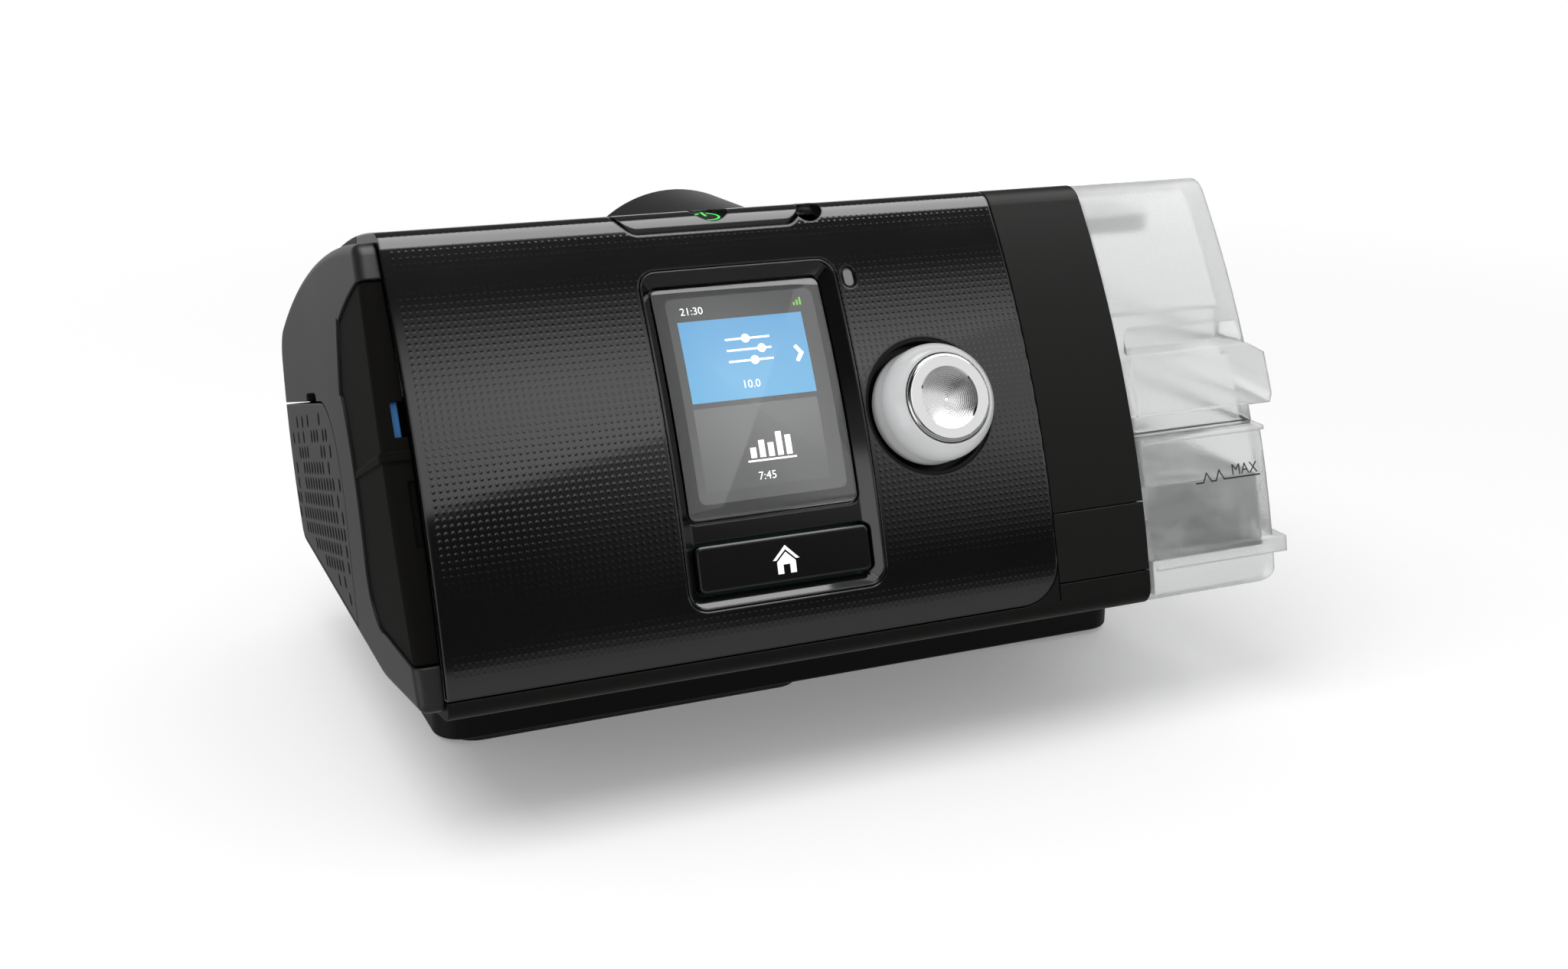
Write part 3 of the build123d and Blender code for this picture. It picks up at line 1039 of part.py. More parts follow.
LID_Z0 = RIM_Z + SEAL_T
with BuildPart() as tub_lid:
    with BuildSketch(Plane.YZ.offset(BLOCK_X0)):
        add(bay_section(BLOCK_GAP))
    extrude(amount=TUB_X0 - BLOCK_X0)
    with BuildSketch(Plane.YZ.offset(TUB_X0)):
        add(skin_section(0.2, None, above(WAIST_Z1)))
    extrude(amount=TUB_X1 - TUB_X0)
    with BuildSketch(Plane.YZ.offset(TUB_X0)):
        add(skin_section(0.2 + WAIST_IN, None, above(LID_Z0 - 5, WAIST_Z1)))
    extrude(amount=TUB_X1 - WAIST_IN - TUB_X0)
    # grip band
    with BuildSketch(Plane.YZ.offset(TUB_X0 + 1.6)):
        add(skin_section(-GRIP_OUT, None, above(WAIST_Z1, GRIP_Z1)))
    extrude(amount=GRIP_X1 - TUB_X0 - 1.6)
    with BuildSketch(Plane.XZ.offset(-100)):
        with BuildLine():
            Polyline((TUB_X1, GRIP_Z1 + 0.1), (GRIP_X1, GRIP_Z1 + 0.1), (GRIP_X1, GRIP_Z1 - 2.2), close=True)
        make_face()
        with BuildLine():
            Polyline((GRIP_X1 - 0.9, WAIST_Z1), (GRIP_X1, WAIST_Z1), (GRIP_X1, WAIST_Z1 + 1.8), close=True)
        make_face()
    extrude(amount=200, mode=Mode.SUBTRACT)
    # air space
    with BuildSketch(Plane.YZ.offset(BLOCK_X0 + TUB_WALL)):
        add(bay_section(BLOCK_GAP + TUB_WALL))
    extrude(amount=TUB_MID_X - BLOCK_X0 - TUB_WALL, mode=Mode.SUBTRACT)
    with BuildSketch(Plane.YZ.offset(TUB_MID_X)):
        add(skin_section(TUB_WALL + 0.2 + WAIST_IN, None, above(LID_Z0 - 20)))
    extrude(amount=TUB_X1 - TUB_WALL - WAIST_IN - TUB_MID_X, mode=Mode.SUBTRACT)
    with Locations((30, 0, LID_Z0)):
        Box(200, 200, 100, align=(Align.CENTER, Align.CENTER, Align.MAX), mode=Mode.SUBTRACT)
    # finger scoop over the grip band, backed by a thicker wall
    with BuildSketch(Plane.YZ.offset(TUB_X0)):
        add(skin_section(0.2, SCOOP_IN + 2.4, [(-120, GRIP_Z1 - 3), (-40, GRIP_Z1 - 3), (-40, SCOOP_Z1 + 2.2),
                                               (-120, SCOOP_Z1 + 2.2)]))
    extrude(amount=TUB_X1 - TUB_X0)
    scoop_y = face_yz(27.0)[0]
    with BuildSketch(Plane.XY.offset(GRIP_Z1)):
        with BuildLine():
            Polyline((TUB_X0 + 1.8, scoop_y - 6), (TUB_X1 - 1.0, scoop_y - 6), (TUB_X1 - 1.0, scoop_y + 0.5),
                     (TUB_X1 - 3.2, scoop_y + SCOOP_IN + 0.4), (TUB_X0 + 5.2, scoop_y + SCOOP_IN + 0.4),
                     (TUB_X0 + 1.8, scoop_y + 0.5), close=True)
        make_face()
    extrude(amount=SCOOP_Z1 - GRIP_Z1, mode=Mode.SUBTRACT)
    # air ports
    with BuildSketch(Plane.YZ.offset(BLOCK_X0)):
        with Locations((INLET_Y, PORT_Z)):
            Circle(PORT_R)
    extrude(amount=TUB_WALL, mode=Mode.SUBTRACT)
    with BuildSketch(Plane.XZ.offset(-block_y1)):
        with Locations((OUT_X, OUT_Z)):
            Circle(OUT_BORE)
    extrude(amount=TUB_WALL, mode=Mode.SUBTRACT)
tub_lid.part.label = "tub_lid"
export_step(tub_lid.part, "parts/tub_lid.step")

# ---- blower: volute in two halves, impeller on top of its motor ----
def volute(z0, z1, wall_in):
    """Closed snail shape between two heights, shrunk by a wall, with its outlet stub towards the bay."""
    with BuildPart() as snail:
        with BuildSketch(Plane.XY.offset(z0 + wall_in)):
            with Locations((BLOWER_X, BLOWER_Y)):
                Circle(BLOWER_R - wall_in)
        extrude(amount=z1 - z0 - 2 * wall_in)
        with BuildSketch(Plane.YZ.offset(BLOWER_X)):
            with Locations((INLET_Y, PORT_Z)):
                Circle(PORT_R + BLOWER_WALL - wall_in)
        extrude(amount=-BLOWER_X + BAY_X0 - BAY_WALL - 5.0 + wall_in)
    return snail.part


def blower_half(low, high):
    """Half of the volute shell between two heights."""
    with BuildPart() as half:
        add(volute(BLOWER_Z0, BLOWER_Z1, 0))
        add(volute(BLOWER_Z0, BLOWER_Z1, BLOWER_WALL), mode=Mode.SUBTRACT)
        with Locations((BLOWER_X, BLOWER_Y, low)):
            Box(200, 200, high - low, align=(Align.CENTER, Align.CENTER, Align.MIN), mode=Mode.INTERSECT)
    return half.part


with BuildPart() as blower_lower:
    add(blower_half(BLOWER_Z0, PORT_Z))
    with Locations((BLOWER_X, BLOWER_Y, BLOWER_Z0)):
        Cylinder(5.0, 4, mode=Mode.SUBTRACT)
blower_lower.part.label = "blower_lower"
export_step(blower_lower.part, "parts/blower_lower.step")

with BuildPart() as blower_upper:
    add(blower_half(PORT_Z, BLOWER_Z1))
    with Locations((BLOWER_X, BLOWER_Y, BLOWER_Z1)):
        Cylinder(10.0, 4, mode=Mode.SUBTRACT)
blower_upper.part.label = "blower_upper"
export_step(blower_upper.part, "parts/blower_upper.step")

with BuildPart() as motor_stator:
    with Locations((BLOWER_X, BLOWER_Y, MOTOR_Z0)):
        Cylinder(MOTOR_R, BLOWER_Z0 - MOTOR_Z0, align=(Align.CENTER, Align.CENTER, Align.MIN))
    with Locations((BLOWER_X, BLOWER_Y, MOTOR_Z0 + 4.0)):
        Cylinder(ROTOR_R + 0.6, 40, align=(Align.CENTER, Align.CENTER, Align.MIN), mode=Mode.SUBTRACT)
    with Locations((BLOWER_X, BLOWER_Y, MOTOR_Z0 + 1.5)):
        Cylinder(4.0, 4, align=(Align.CENTER, Align.CENTER, Align.MIN), mode=Mode.SUBTRACT)
motor_stator.part.label = "motor_stator"
export_step(motor_stator.part, "parts/motor_stator.step")

with BuildPart() as motor_bearings:
    with BuildSketch(Plane.XY.offset(MOTOR_Z0 + 1.5)):
        with Locations((BLOWER_X, BLOWER_Y)):
            Circle(4.0)
            Circle(AXLE_R + 0.05, mode=Mode.SUBTRACT)
    extrude(amount=2.5)
    with BuildSketch(Plane.XY.offset(BLOWER_Z0 - 2.5)):
        with Locations((BLOWER_X, BLOWER_Y)):
            Circle(ROTOR_R + 0.6)
            Circle(AXLE_R + 0.05, mode=Mode.SUBTRACT)
    extrude(amount=2.5)
motor_bearings.part.label = "motor_bearings"
export_step(motor_bearings.part, "parts/motor_bearings.step")

with BuildPart() as motor_rotor:
    with Locations((BLOWER_X, BLOWER_Y, MOTOR_Z0 + 5.0)):
        Cylinder(ROTOR_R, BLOWER_Z0 - MOTOR_Z0 - 8.5, align=(Align.CENTER, Align.CENTER, Align.MIN))
    with Locations((BLOWER_X, BLOWER_Y, MOTOR_Z0 + 2.0)):
        Cylinder(AXLE_R, 36, align=(Align.CENTER, Align.CENTER, Align.MIN))
motor_rotor.part.label = "motor_rotor"
export_step(motor_rotor.part, "parts/motor_rotor.step")

with BuildPart() as impeller:
    with Locations((BLOWER_X, BLOWER_Y, BLOWER_Z0 + 3.0)):
        Cylinder(IMPELLER_R, 1.5, align=(Align.CENTER, Align.CENTER, Align.MIN))
        Cylinder(4.0, 12.0, align=(Align.CENTER, Align.CENTER, Align.MIN))
    with BuildSketch(Plane.XY.offset(BLOWER_Z0 + 3.0)):
        with Locations((BLOWER_X, BLOWER_Y)):
            with PolarLocations(11.0, 11):
                Rectangle(16.0, 1.2, rotation=28)
    extrude(amount=12.0)
    with Locations((BLOWER_X, BLOWER_Y, BLOWER_Z0)):
        Cylinder(AXLE_R, 30, align=(Align.CENTER, Align.CENTER, Align.MIN), mode=Mode.SUBTRACT)
impeller.part.label = "impeller"
export_step(impeller.part, "parts/impeller.step")

with BuildPart() as blower_mounts:
    with BuildSketch(Plane.XY.offset(UNDER_Z + WALL)):
        with Locations((BLOWER_X, BLOWER_Y)):
            with PolarLocations(19.5, 3, start_angle=90):
                Circle(3.0)
    extrude(amount=BLOWER_Z0 - UNDER_Z - WALL)
blower_mounts.part.label = "blower_mounts"
export_step(blower_mounts.part, "parts/blower_mounts.step")

with BuildPart() as tub_inlet_duct:
    with BuildSketch(Plane.YZ.offset(BAY_X0 - BAY_WALL - 5.0)):
        with Locations((INLET_Y, PORT_Z)):
            Circle(PORT_R + BLOWER_WALL)
            Circle(PORT_R, mode=Mode.SUBTRACT)
    extrude(amount=5.0)
tub_inlet_duct.part.label = "tub_inlet_duct"
export_step(tub_inlet_duct.part, "parts/tub_inlet_duct.step")

# ---- electronics: main board on edge, its larger parts, and the flow sensor on the blower ----
with BuildPart() as main_board:
    with BuildSketch(Plane.XZ.offset(38.0)):
        with Locations((-66, 57.4)):
            Rectangle(52, 67.4)
        with Locations((-66, 57.4)):
            with GridLocations(44, 56, 2, 2):
                Circle(1.6, mode=Mode.SUBTRACT)
    extrude(amount=BOARD_T)
main_board.part.label = "main_board"
export_step(main_board.part, "parts/main_board.step")

with BuildPart() as board_parts:
    with BuildSketch(Plane.XZ.offset(38.0)):
        with Locations((-76, 66)):
            Rectangle(12, 12)
        with Locations((-58, 72)):
            Rectangle(10, 8)
        with Locations((-52, 50)):
            Rectangle(8, 12)
    extrude(amount=-1.6)
    with BuildSketch(Plane.XZ.offset(38.0)):
        with Locations((-80, 40), (-70, 40)):
            Circle(4.0)
        with Locations((-56, 34)):
            Rectangle(16, 6)
    extrude(amount=-8.0)
board_parts.part.label = "board_parts"
export_step(board_parts.part, "parts/board_parts.step")

with BuildPart() as flow_sensor:
    with Locations((BLOWER_X + 14, BLOWER_Y - 10, BLOWER_Z1)):
        Box(9, 7, 4, align=(Align.CENTER, Align.CENTER, Align.MIN))
flow_sensor.part.label = "flow_sensor"
export_step(flow_sensor.part, "parts/flow_sensor.step")
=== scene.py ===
import bpy
import bmesh
from math import cos, pi, radians, sin, sqrt
from mathutils import Matrix, Vector


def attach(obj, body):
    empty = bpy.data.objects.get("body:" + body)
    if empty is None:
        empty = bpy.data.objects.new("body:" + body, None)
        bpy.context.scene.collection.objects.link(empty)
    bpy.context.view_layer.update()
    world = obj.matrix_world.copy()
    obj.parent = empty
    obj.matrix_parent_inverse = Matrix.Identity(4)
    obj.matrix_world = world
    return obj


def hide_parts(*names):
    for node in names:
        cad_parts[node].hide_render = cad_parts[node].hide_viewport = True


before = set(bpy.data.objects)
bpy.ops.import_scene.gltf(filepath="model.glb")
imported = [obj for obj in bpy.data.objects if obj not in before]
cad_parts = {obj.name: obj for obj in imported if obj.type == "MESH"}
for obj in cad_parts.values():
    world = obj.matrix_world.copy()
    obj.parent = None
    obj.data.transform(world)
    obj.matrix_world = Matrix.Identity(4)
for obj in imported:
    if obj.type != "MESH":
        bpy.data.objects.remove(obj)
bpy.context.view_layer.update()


# ---- stand, feet and lower housing ----
# The machine stands on a hollow block of black ABS, screwed up into the tray that forms the underside.
# Both are injection moulded with a fine spark-eroded grain; the feet are strips of soft rubber.
def new_material(name):
    material = bpy.data.materials.new(name)
    material.use_nodes = True
    return material, material.node_tree, material.node_tree.nodes["Principled BSDF"]


def finish_nodes(material, *names):
    for name in names:
        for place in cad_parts[name].material_slots:
            place.material = material


def add_node(tree, kind, **settings):
    node = tree.nodes.new(kind)
    for key, value in settings.items():
        setattr(node, key, value)
    return node


def calc(tree, operation, first, second=None, third=None, clamp=False):
    node = add_node(tree, "ShaderNodeMath", operation=operation, use_clamp=clamp)
    for spot, value in enumerate((first, second, third)):
        if isinstance(value, (int, float)):
            node.inputs[spot].default_value = value
        elif value is not None:
            tree.links.new(value, node.inputs[spot])
    return node.outputs[0]


def product(tree, first, *others):
    for other in others:
        first = calc(tree, "MULTIPLY", first, other)
    return first


def remap(tree, value, low, high, out_low=0.0, out_high=1.0, kind="SMOOTHSTEP"):
    node = add_node(tree, "ShaderNodeMapRange", interpolation_type=kind)
    tree.links.new(value, node.inputs["Value"])
    for key, number in (("From Min", low), ("From Max", high), ("To Min", out_low), ("To Max", out_high)):
        node.inputs[key].default_value = number
    return node.outputs["Result"]


def blend_colours(tree, share, first, second):
    node = add_node(tree, "ShaderNodeMix", data_type="RGBA")
    tree.links.new(share, node.inputs[0])
    for spot, colour in ((6, first), (7, second)):
        if isinstance(colour, tuple):
            node.inputs[spot].default_value = (*colour, 1)
        else:
            tree.links.new(colour, node.inputs[spot])
    return node.outputs[2]


def place_in_part(tree):
    return tree.nodes.new("ShaderNodeTexCoord").outputs["Object"]


def cloudiness(tree, scale, detail, vector=None):
    noise = tree.nodes.new("ShaderNodeTexNoise")
    noise.inputs["Detail"].default_value = detail
    tree.links.new(vector or place_in_part(tree), noise.inputs["Vector"])
    if isinstance(scale, (int, float)):
        noise.inputs["Scale"].default_value = scale
    else:
        tree.links.new(scale, noise.inputs["Scale"])
    return noise.outputs["Fac"]


def add_bump(tree, shader, height, depth, edge=0.0, strength=1.0):
    """Bumps the surface by a pattern of heights, over softly rounded edges where a radius is given."""
    bump = tree.nodes.new("ShaderNodeBump")
    bump.inputs["Strength"].default_value = strength
    bump.inputs["Distance"].default_value = depth
    tree.links.new(height, bump.inputs["Height"])
    if edge:
        rounding = add_node(tree, "ShaderNodeBevel", samples=4)
        rounding.inputs["Radius"].default_value = edge
        tree.links.new(rounding.outputs["Normal"], bump.inputs["Normal"])
    tree.links.new(bump.outputs["Normal"], shader.inputs["Normal"])
    return bump.outputs["Normal"]


grain = bpy.data.node_groups.new("moulded grain", "ShaderNodeTree")
for label, start in (("Pits per mm", 4.0), ("Roughness", 0.5), ("Uneven", 0.1)):
    socket = grain.interface.new_socket(name=label, in_out="INPUT", socket_type="NodeSocketFloat")
    socket.default_value = start
for label in ("Roughness", "Height", "Tone"):
    grain.interface.new_socket(name=label, in_out="OUTPUT", socket_type="NodeSocketFloat")
grain_in, grain_out = grain.nodes.new("NodeGroupInput"), grain.nodes.new("NodeGroupOutput")
pits = cloudiness(grain, product(grain, grain_in.outputs["Pits per mm"], 1000.0), 2.0)
patches = cloudiness(grain, 22.0, 4.0)
shift = product(grain, calc(grain, "SUBTRACT", patches, 0.5), grain_in.outputs["Uneven"])
uneven_roughness = calc(grain, "ADD", grain_in.outputs["Roughness"], shift)
for label, result in (("Roughness", uneven_roughness), ("Height", pits), ("Tone", patches)):
    grain.links.new(result, grain_out.inputs[label])


def add_grain(tree, shader, pit=4.0, roughness=0.5, uneven=0.1):
    """Makes the gloss uneven by the moulded grain, which also gives patterns of height and tone."""
    skin = add_node(tree, "ShaderNodeGroup", node_tree=grain)
    for label, value in (("Pits per mm", pit), ("Roughness", roughness), ("Uneven", uneven)):
        skin.inputs[label].default_value = value
    tree.links.new(skin.outputs["Roughness"], shader.inputs["Roughness"])
    return skin.outputs


def moulded_plastic(name, dark, light, roughness, pit=4.0, depth=0.00002, uneven=0.1, edge=0.0004,
                    specular=0.5):
    """Moulded plastic: two close tones, a pitted grain, patches of gloss, and softly rounded edges."""
    material, tree, shader = new_material(name)
    skin = add_grain(tree, shader, pit, roughness, uneven)
    tree.links.new(blend_colours(tree, skin["Tone"], dark, light), shader.inputs["Base Color"])
    shader.inputs["Specular IOR Level"].default_value = specular
    add_bump(tree, shader, skin["Height"], depth, edge, strength=0.6)
    return material


matte_black = moulded_plastic("black ABS, eroded grain", (0.005, 0.0048, 0.0045), (0.0075, 0.0072, 0.0067),
                              0.48, specular=0.15)
finish_nodes(matte_black, "stand_base", "lower_housing")
foot_rubber = moulded_plastic("foot rubber", (0.012, 0.012, 0.012), (0.022, 0.021, 0.02), 0.85, pit=2.0,
                              depth=0.00005)
finish_nodes(foot_rubber, "rubber_feet")


# ---- screws, heater, blower and boards inside ----
# Zinc-plated screws, an aluminium heater plate on an insulating sheet, a snail-shaped blower on rubber
# mounts, and the circuit boards. They are fitted in the tray before the shells close over them.
def worked_metal(name, dark, light, roughness, stretch=(1, 1, 1)):
    """Metal with fine drawn or turned marks, stretched along one way."""
    material, tree, shader = new_material(name)
    turn = tree.nodes.new("ShaderNodeMapping")
    turn.inputs["Scale"].default_value = stretch
    tree.links.new(place_in_part(tree), turn.inputs["Vector"])
    marks = cloudiness(tree, 900, 3, turn.outputs["Vector"])
    tree.links.new(blend_colours(tree, marks, dark, light), shader.inputs["Base Color"])
    tree.links.new(remap(tree, marks, 0.2, 0.8, roughness - 0.08, roughness + 0.1, "LINEAR"),
                   shader.inputs["Roughness"])
    shader.inputs["Metallic"].default_value = 1.0
    add_bump(tree, shader, marks, 0.00001)
    return material


steel = worked_metal("zinc-plated steel", (0.42, 0.42, 0.41), (0.62, 0.62, 0.6), 0.34, (1, 1, 0.15))
finish_nodes(steel, "housing_screws", "motor_stator", "motor_bearings", "motor_rotor")
dark_steel = worked_metal("blackened steel", (0.012, 0.012, 0.013), (0.03, 0.03, 0.032), 0.45, (1, 1, 0.15))
finish_nodes(dark_steel, "card_hinge_pin", "filter_hinge_pin")
plate_metal = worked_metal("rolled aluminium", (0.55, 0.56, 0.57), (0.72, 0.73, 0.74), 0.3, (0.1, 1, 1))
finish_nodes(plate_metal, "heater_plate", "tub_plate")
brass = worked_metal("plated brass", (0.6, 0.45, 0.18), (0.78, 0.62, 0.3), 0.25)
finish_nodes(brass, "power_pins")
inner_white = moulded_plastic("white inner moulding", (0.62, 0.62, 0.6), (0.7, 0.7, 0.68), 0.42, uneven=0.2)
finish_nodes(inner_white, "blower_lower", "blower_upper", "impeller")
soft_rubber = moulded_plastic("soft black rubber", (0.016, 0.016, 0.016), (0.028, 0.027, 0.027), 0.78,
                              pit=2.5)
finish_nodes(soft_rubber, "blower_mounts", "tub_inlet_duct", "outlet_seal", "outlet_duct")
board_green = moulded_plastic("green solder mask", (0.006, 0.07, 0.028), (0.01, 0.11, 0.045), 0.32, pit=1.2)
finish_nodes(board_green, "main_board", "display_board", "start_board")
parts_dark = moulded_plastic("component epoxy", (0.012, 0.012, 0.013), (0.03, 0.03, 0.031), 0.4, pit=6.0)
finish_nodes(parts_dark, "board_parts", "flow_sensor", "home_switch", "encoder", "encoder_plunger",
             "card_reader")
sheet_tan = moulded_plastic("insulating sheet", (0.35, 0.31, 0.24), (0.46, 0.41, 0.33), 0.75, pit=2.0,
                            depth=0.00006)
finish_nodes(sheet_tan, "heater_insulator")


# ---- intake filter ----
# A pad of white polyester wool behind the vents, held by a plastic frame with six windows, and a block of
# grey sound foam beside it. The wool is a mat of fine tangled threads; the foam is open-celled.
def felted(name, dark, light, size, depth):
    """Matted fibres or foam cells, as raised cells of a Voronoi pattern over a soft cloudiness."""
    material, tree, shader = new_material(name)
    cells = tree.nodes.new("ShaderNodeTexVoronoi")
    cells.inputs["Scale"].default_value = 1.0 / size
    tree.links.new(place_in_part(tree), cells.inputs["Vector"])
    mixed = product(tree, cells.outputs["Distance"], cloudiness(tree, 300.0, 6.0))
    tree.links.new(blend_colours(tree, remap(tree, mixed, 0.0, 0.45), dark, light),
                   shader.inputs["Base Color"])
    shader.inputs["Roughness"].default_value = 0.95
    add_bump(tree, shader, mixed, depth)
    return material


wool = felted("polyester wool", (0.6, 0.6, 0.58), (0.86, 0.86, 0.84), 0.0006, 0.0003)
finish_nodes(wool, "air_filter")
foam = felted("open-celled foam", (0.04, 0.04, 0.042), (0.12, 0.12, 0.125), 0.0009, 0.0006)
finish_nodes(foam, "inlet_foam")
finish_nodes(matte_black, "filter_tray")


# ---- rear housing and tub bay ----
# The rear shell is one moulding with the round hood over the air outlet. The bay behind the right end is
# a separate box of the same plastic. The outlet neck and the small fittings at the back are black nylon.
rear_black = moulded_plastic("black ABS, rear shell", (0.006, 0.0058, 0.0055), (0.009, 0.0087, 0.0083), 0.42,
                             edge=0.0006, specular=0.25)
finish_nodes(rear_black, "rear_housing", "tub_bay")
nylon_black = moulded_plastic("black nylon, outlet neck", (0.01, 0.01, 0.01), (0.02, 0.02, 0.02), 0.3,
                              pit=2.5, uneven=0.2, edge=0.0006)
finish_nodes(nylon_black, "outlet_connector", "power_inlet", "retention_clip", "accessory_socket",
             "adapter_cover")


# ---- end band and badge panel ----
# A satin hoop moulded over the right end of the casing, where the tub slides in. The plain panel low on
# its front is a separate clip-in piece of the same plastic.
band_black = moulded_plastic("black ABS, satin band", (0.0085, 0.0082, 0.0077), (0.011, 0.0106, 0.01), 0.4,
                             pit=5.0, uneven=0.06, edge=0.0005, specular=0.15)
finish_nodes(band_black, "end_band", "badge_panel")


# ---- side cover, card cover and filter cover ----
# The left end cap is bowed and satin, with two hinged doors: a plain one over the memory card and
# one with rows of short vents over the intake filter.
side_black = moulded_plastic("black ABS, side cap", (0.012, 0.012, 0.012), (0.0165, 0.0165, 0.0165), 0.38,
                             pit=5.0, uneven=0.08, edge=0.0006, specular=0.5)
finish_nodes(side_black, "side_cover", "filter_cover")
# The card door is a darker, nearly glossless copy of the side cap's plastic: painted shade, as the door faces
# more to the front.
card_door_shaded_black = moulded_plastic("black ABS, card door, painted shade", (0.0055, 0.0053, 0.0048), (0.008, 0.0077, 0.007), 0.5,
                             pit=5.0, uneven=0.08, edge=0.0006, specular=0.02)
finish_nodes(card_door_shaded_black, "card_cover")
card_blue = moulded_plastic("blue card shell", (0.012, 0.13, 0.36), (0.02, 0.18, 0.47), 0.35, uneven=0.1)
finish_nodes(card_blue, "memory_card")


# ---- front fascia ----
# High-gloss black panel, bowed round one axis from lip to top edge. Its skin is moulded with a square
# lattice of fine raised dots, which fade out towards the bottom and the top.
FACE_R, FACE_Y, FACE_Z = 0.2148, 0.1357, -0.0141    # radius and axis of the bow
DOT_PITCH, DOT_DEPTH, DOTS_X0 = 0.00139, 0.00002, -0.0945
DOT_RIM, DOT_CROWN = 0.36, 0.06     # radii, in pitches, where a dot's slope starts and ends
# the share of a dot's height that is left, as it changes from one lean of the face to another
FADE_LOW = radians(13.0), radians(20.0), 0.06, 1.0
FADE_HIGH = radians(30.0), radians(35.5), 1.0, 0.3


def split_axes(tree, vector):
    axes = tree.nodes.new("ShaderNodeSeparateXYZ")
    tree.links.new(vector, axes.inputs[0])
    return axes.outputs["X"], axes.outputs["Y"], axes.outputs["Z"]


def from_cell_middle(tree, value, pitch):
    return calc(tree, "SUBTRACT", calc(tree, "FRACT", calc(tree, "DIVIDE", value, pitch)), 0.5)


def length(tree, first, second):
    return calc(tree, "SQRT", calc(tree, "ADD", product(tree, first, first), product(tree, second, second)))


gloss_black, tree, shader = new_material("gloss black with raised dots")
x, y, z = split_axes(tree, place_in_part(tree))
lean = calc(tree, "ARCTAN2", calc(tree, "SUBTRACT", z, FACE_Z), calc(tree, "SUBTRACT", FACE_Y, y))
from_dot = length(tree, from_cell_middle(tree, x, DOT_PITCH),
                  from_cell_middle(tree, lean, DOT_PITCH / FACE_R))
dots = product(tree, remap(tree, from_dot, DOT_RIM, DOT_CROWN), remap(tree, lean, *FADE_LOW),
               remap(tree, lean, *FADE_HIGH), calc(tree, "GREATER_THAN", x, DOTS_X0))
skin = add_grain(tree, shader, pit=0.05, roughness=0.07, uneven=0.08)
tree.links.new(blend_colours(tree, skin["Tone"], (0.0055, 0.0055, 0.0055), (0.008, 0.008, 0.008)),
               shader.inputs["Base Color"])
add_bump(tree, shader, dots, DOT_DEPTH, edge=0.0006)
shader.inputs["Specular IOR Level"].default_value = 0.85
finish_nodes(gloss_black, "front_fascia")

# ---- screen bezel and home button ----
# The screen and the home button sit in a sunk frame of polished black acrylic with sloping sides. The
# button's symbol, a plain house, is printed in white.
polished_black = moulded_plastic("polished black acrylic", (0.0045, 0.0045, 0.0045), (0.0065, 0.0065, 0.0065),
                                 0.09, pit=0.05, depth=0.000002, uneven=0.08, edge=0.0005, specular=0.85)
finish_nodes(polished_black, "screen_bezel")
key_black = moulded_plastic("polished black key", (0.005, 0.005, 0.005), (0.0075, 0.0075, 0.0075), 0.12,
                            pit=0.05, depth=0.000002, edge=0.0004, specular=0.85)
finish_nodes(key_black, "home_button", "start_button")


def face_place(x, lean, depth):
    """Place on the bowed face: X along it, Y up it, Z out of it, some depth under the skin."""
    c, s = cos(radians(lean)), sin(radians(lean))
    reach = FACE_R - depth
    return Matrix(((1, 0, 0, x), (0, s, -c, FACE_Y - reach * c), (0, c, s, FACE_Z + reach * s), (0, 0, 0, 1)))


def finish_piece(name, shape, material, body, smooth=False):
    """Turns a finished bmesh into a piece that rides on a body."""
    bmesh.ops.recalc_face_normals(shape, faces=shape.faces)
    mesh = bpy.data.meshes.new(name)
    shape.to_mesh(mesh)
    shape.free()
    mesh.materials.append(material)
    piece = bpy.data.objects.new(name, mesh)
    bpy.context.scene.collection.objects.link(piece)
    if smooth:
        mesh.shade_smooth()
        mesh.set_sharp_from_angle(angle=radians(32))
    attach(piece, body)
    return piece


def lift_face(shape, face, move):
    """Extrudes a face by a move, and returns what the move made."""
    lifted = bmesh.ops.extrude_face_region(shape, geom=[face])["geom"]
    bmesh.ops.translate(shape, vec=move, verts=[v for v in lifted if isinstance(v, bmesh.types.BMVert)])
    return lifted


def raised_outline(shape, corners, low, high):
    """Flat outline of a few corners, raised from one height to another."""
    face = shape.faces.new([shape.verts.new((x, y, low)) for x, y in corners])
    lift_face(shape, face, (0, 0, high - low))


def glowing_white(name, strength):
    """White with a glow of a given strength, very slightly mottled as ink is: full glow for lit pixels, and a
    faint glow on printed ink that is painted light.
    """
    material, tree, shader = new_material(name)
    ink = add_grain(tree, shader, pit=8.0, roughness=0.35)
    white = blend_colours(tree, ink["Height"], (0.9, 0.9, 0.9), (1.0, 1.0, 1.0))
    tree.links.new(white, shader.inputs["Base Color"])
    tree.links.new(white, shader.inputs["Emission Color"])
    shader.inputs["Emission Strength"].default_value = strength
    return material


MM = 0.001
INK_T = 0.03 * MM
HOME_X, HOME_LEAN, HOME_GAP = -0.0229, 17.15, 1.0 * MM      # the key's middle, and its depth under the face
ROOF = ((-3.0, -0.1), (0, 2.9), (3.0, -0.1), (2.2, -0.1), (0, 2.0), (-2.2, -0.1))
WALLS = ((-2.1, -3.0), (-2.1, -0.5), (0, 1.5), (2.1, -0.5), (2.1, -3.0), (0.75, -3.0), (0.75, -1.1),
         (-0.75, -1.1), (-0.75, -3.0))
symbol = bmesh.new()
for outline in (ROOF, WALLS):
    raised_outline(symbol, [(x * MM, y * MM) for x, y in outline], 0, INK_T)
symbol.transform(face_place(HOME_X, HOME_LEAN, HOME_GAP))
# The printed house symbol is given a faint glow: painted light.
finish_piece("home_symbol", symbol, glowing_white("white symbol ink, painted glow", 0.25), "home_key")

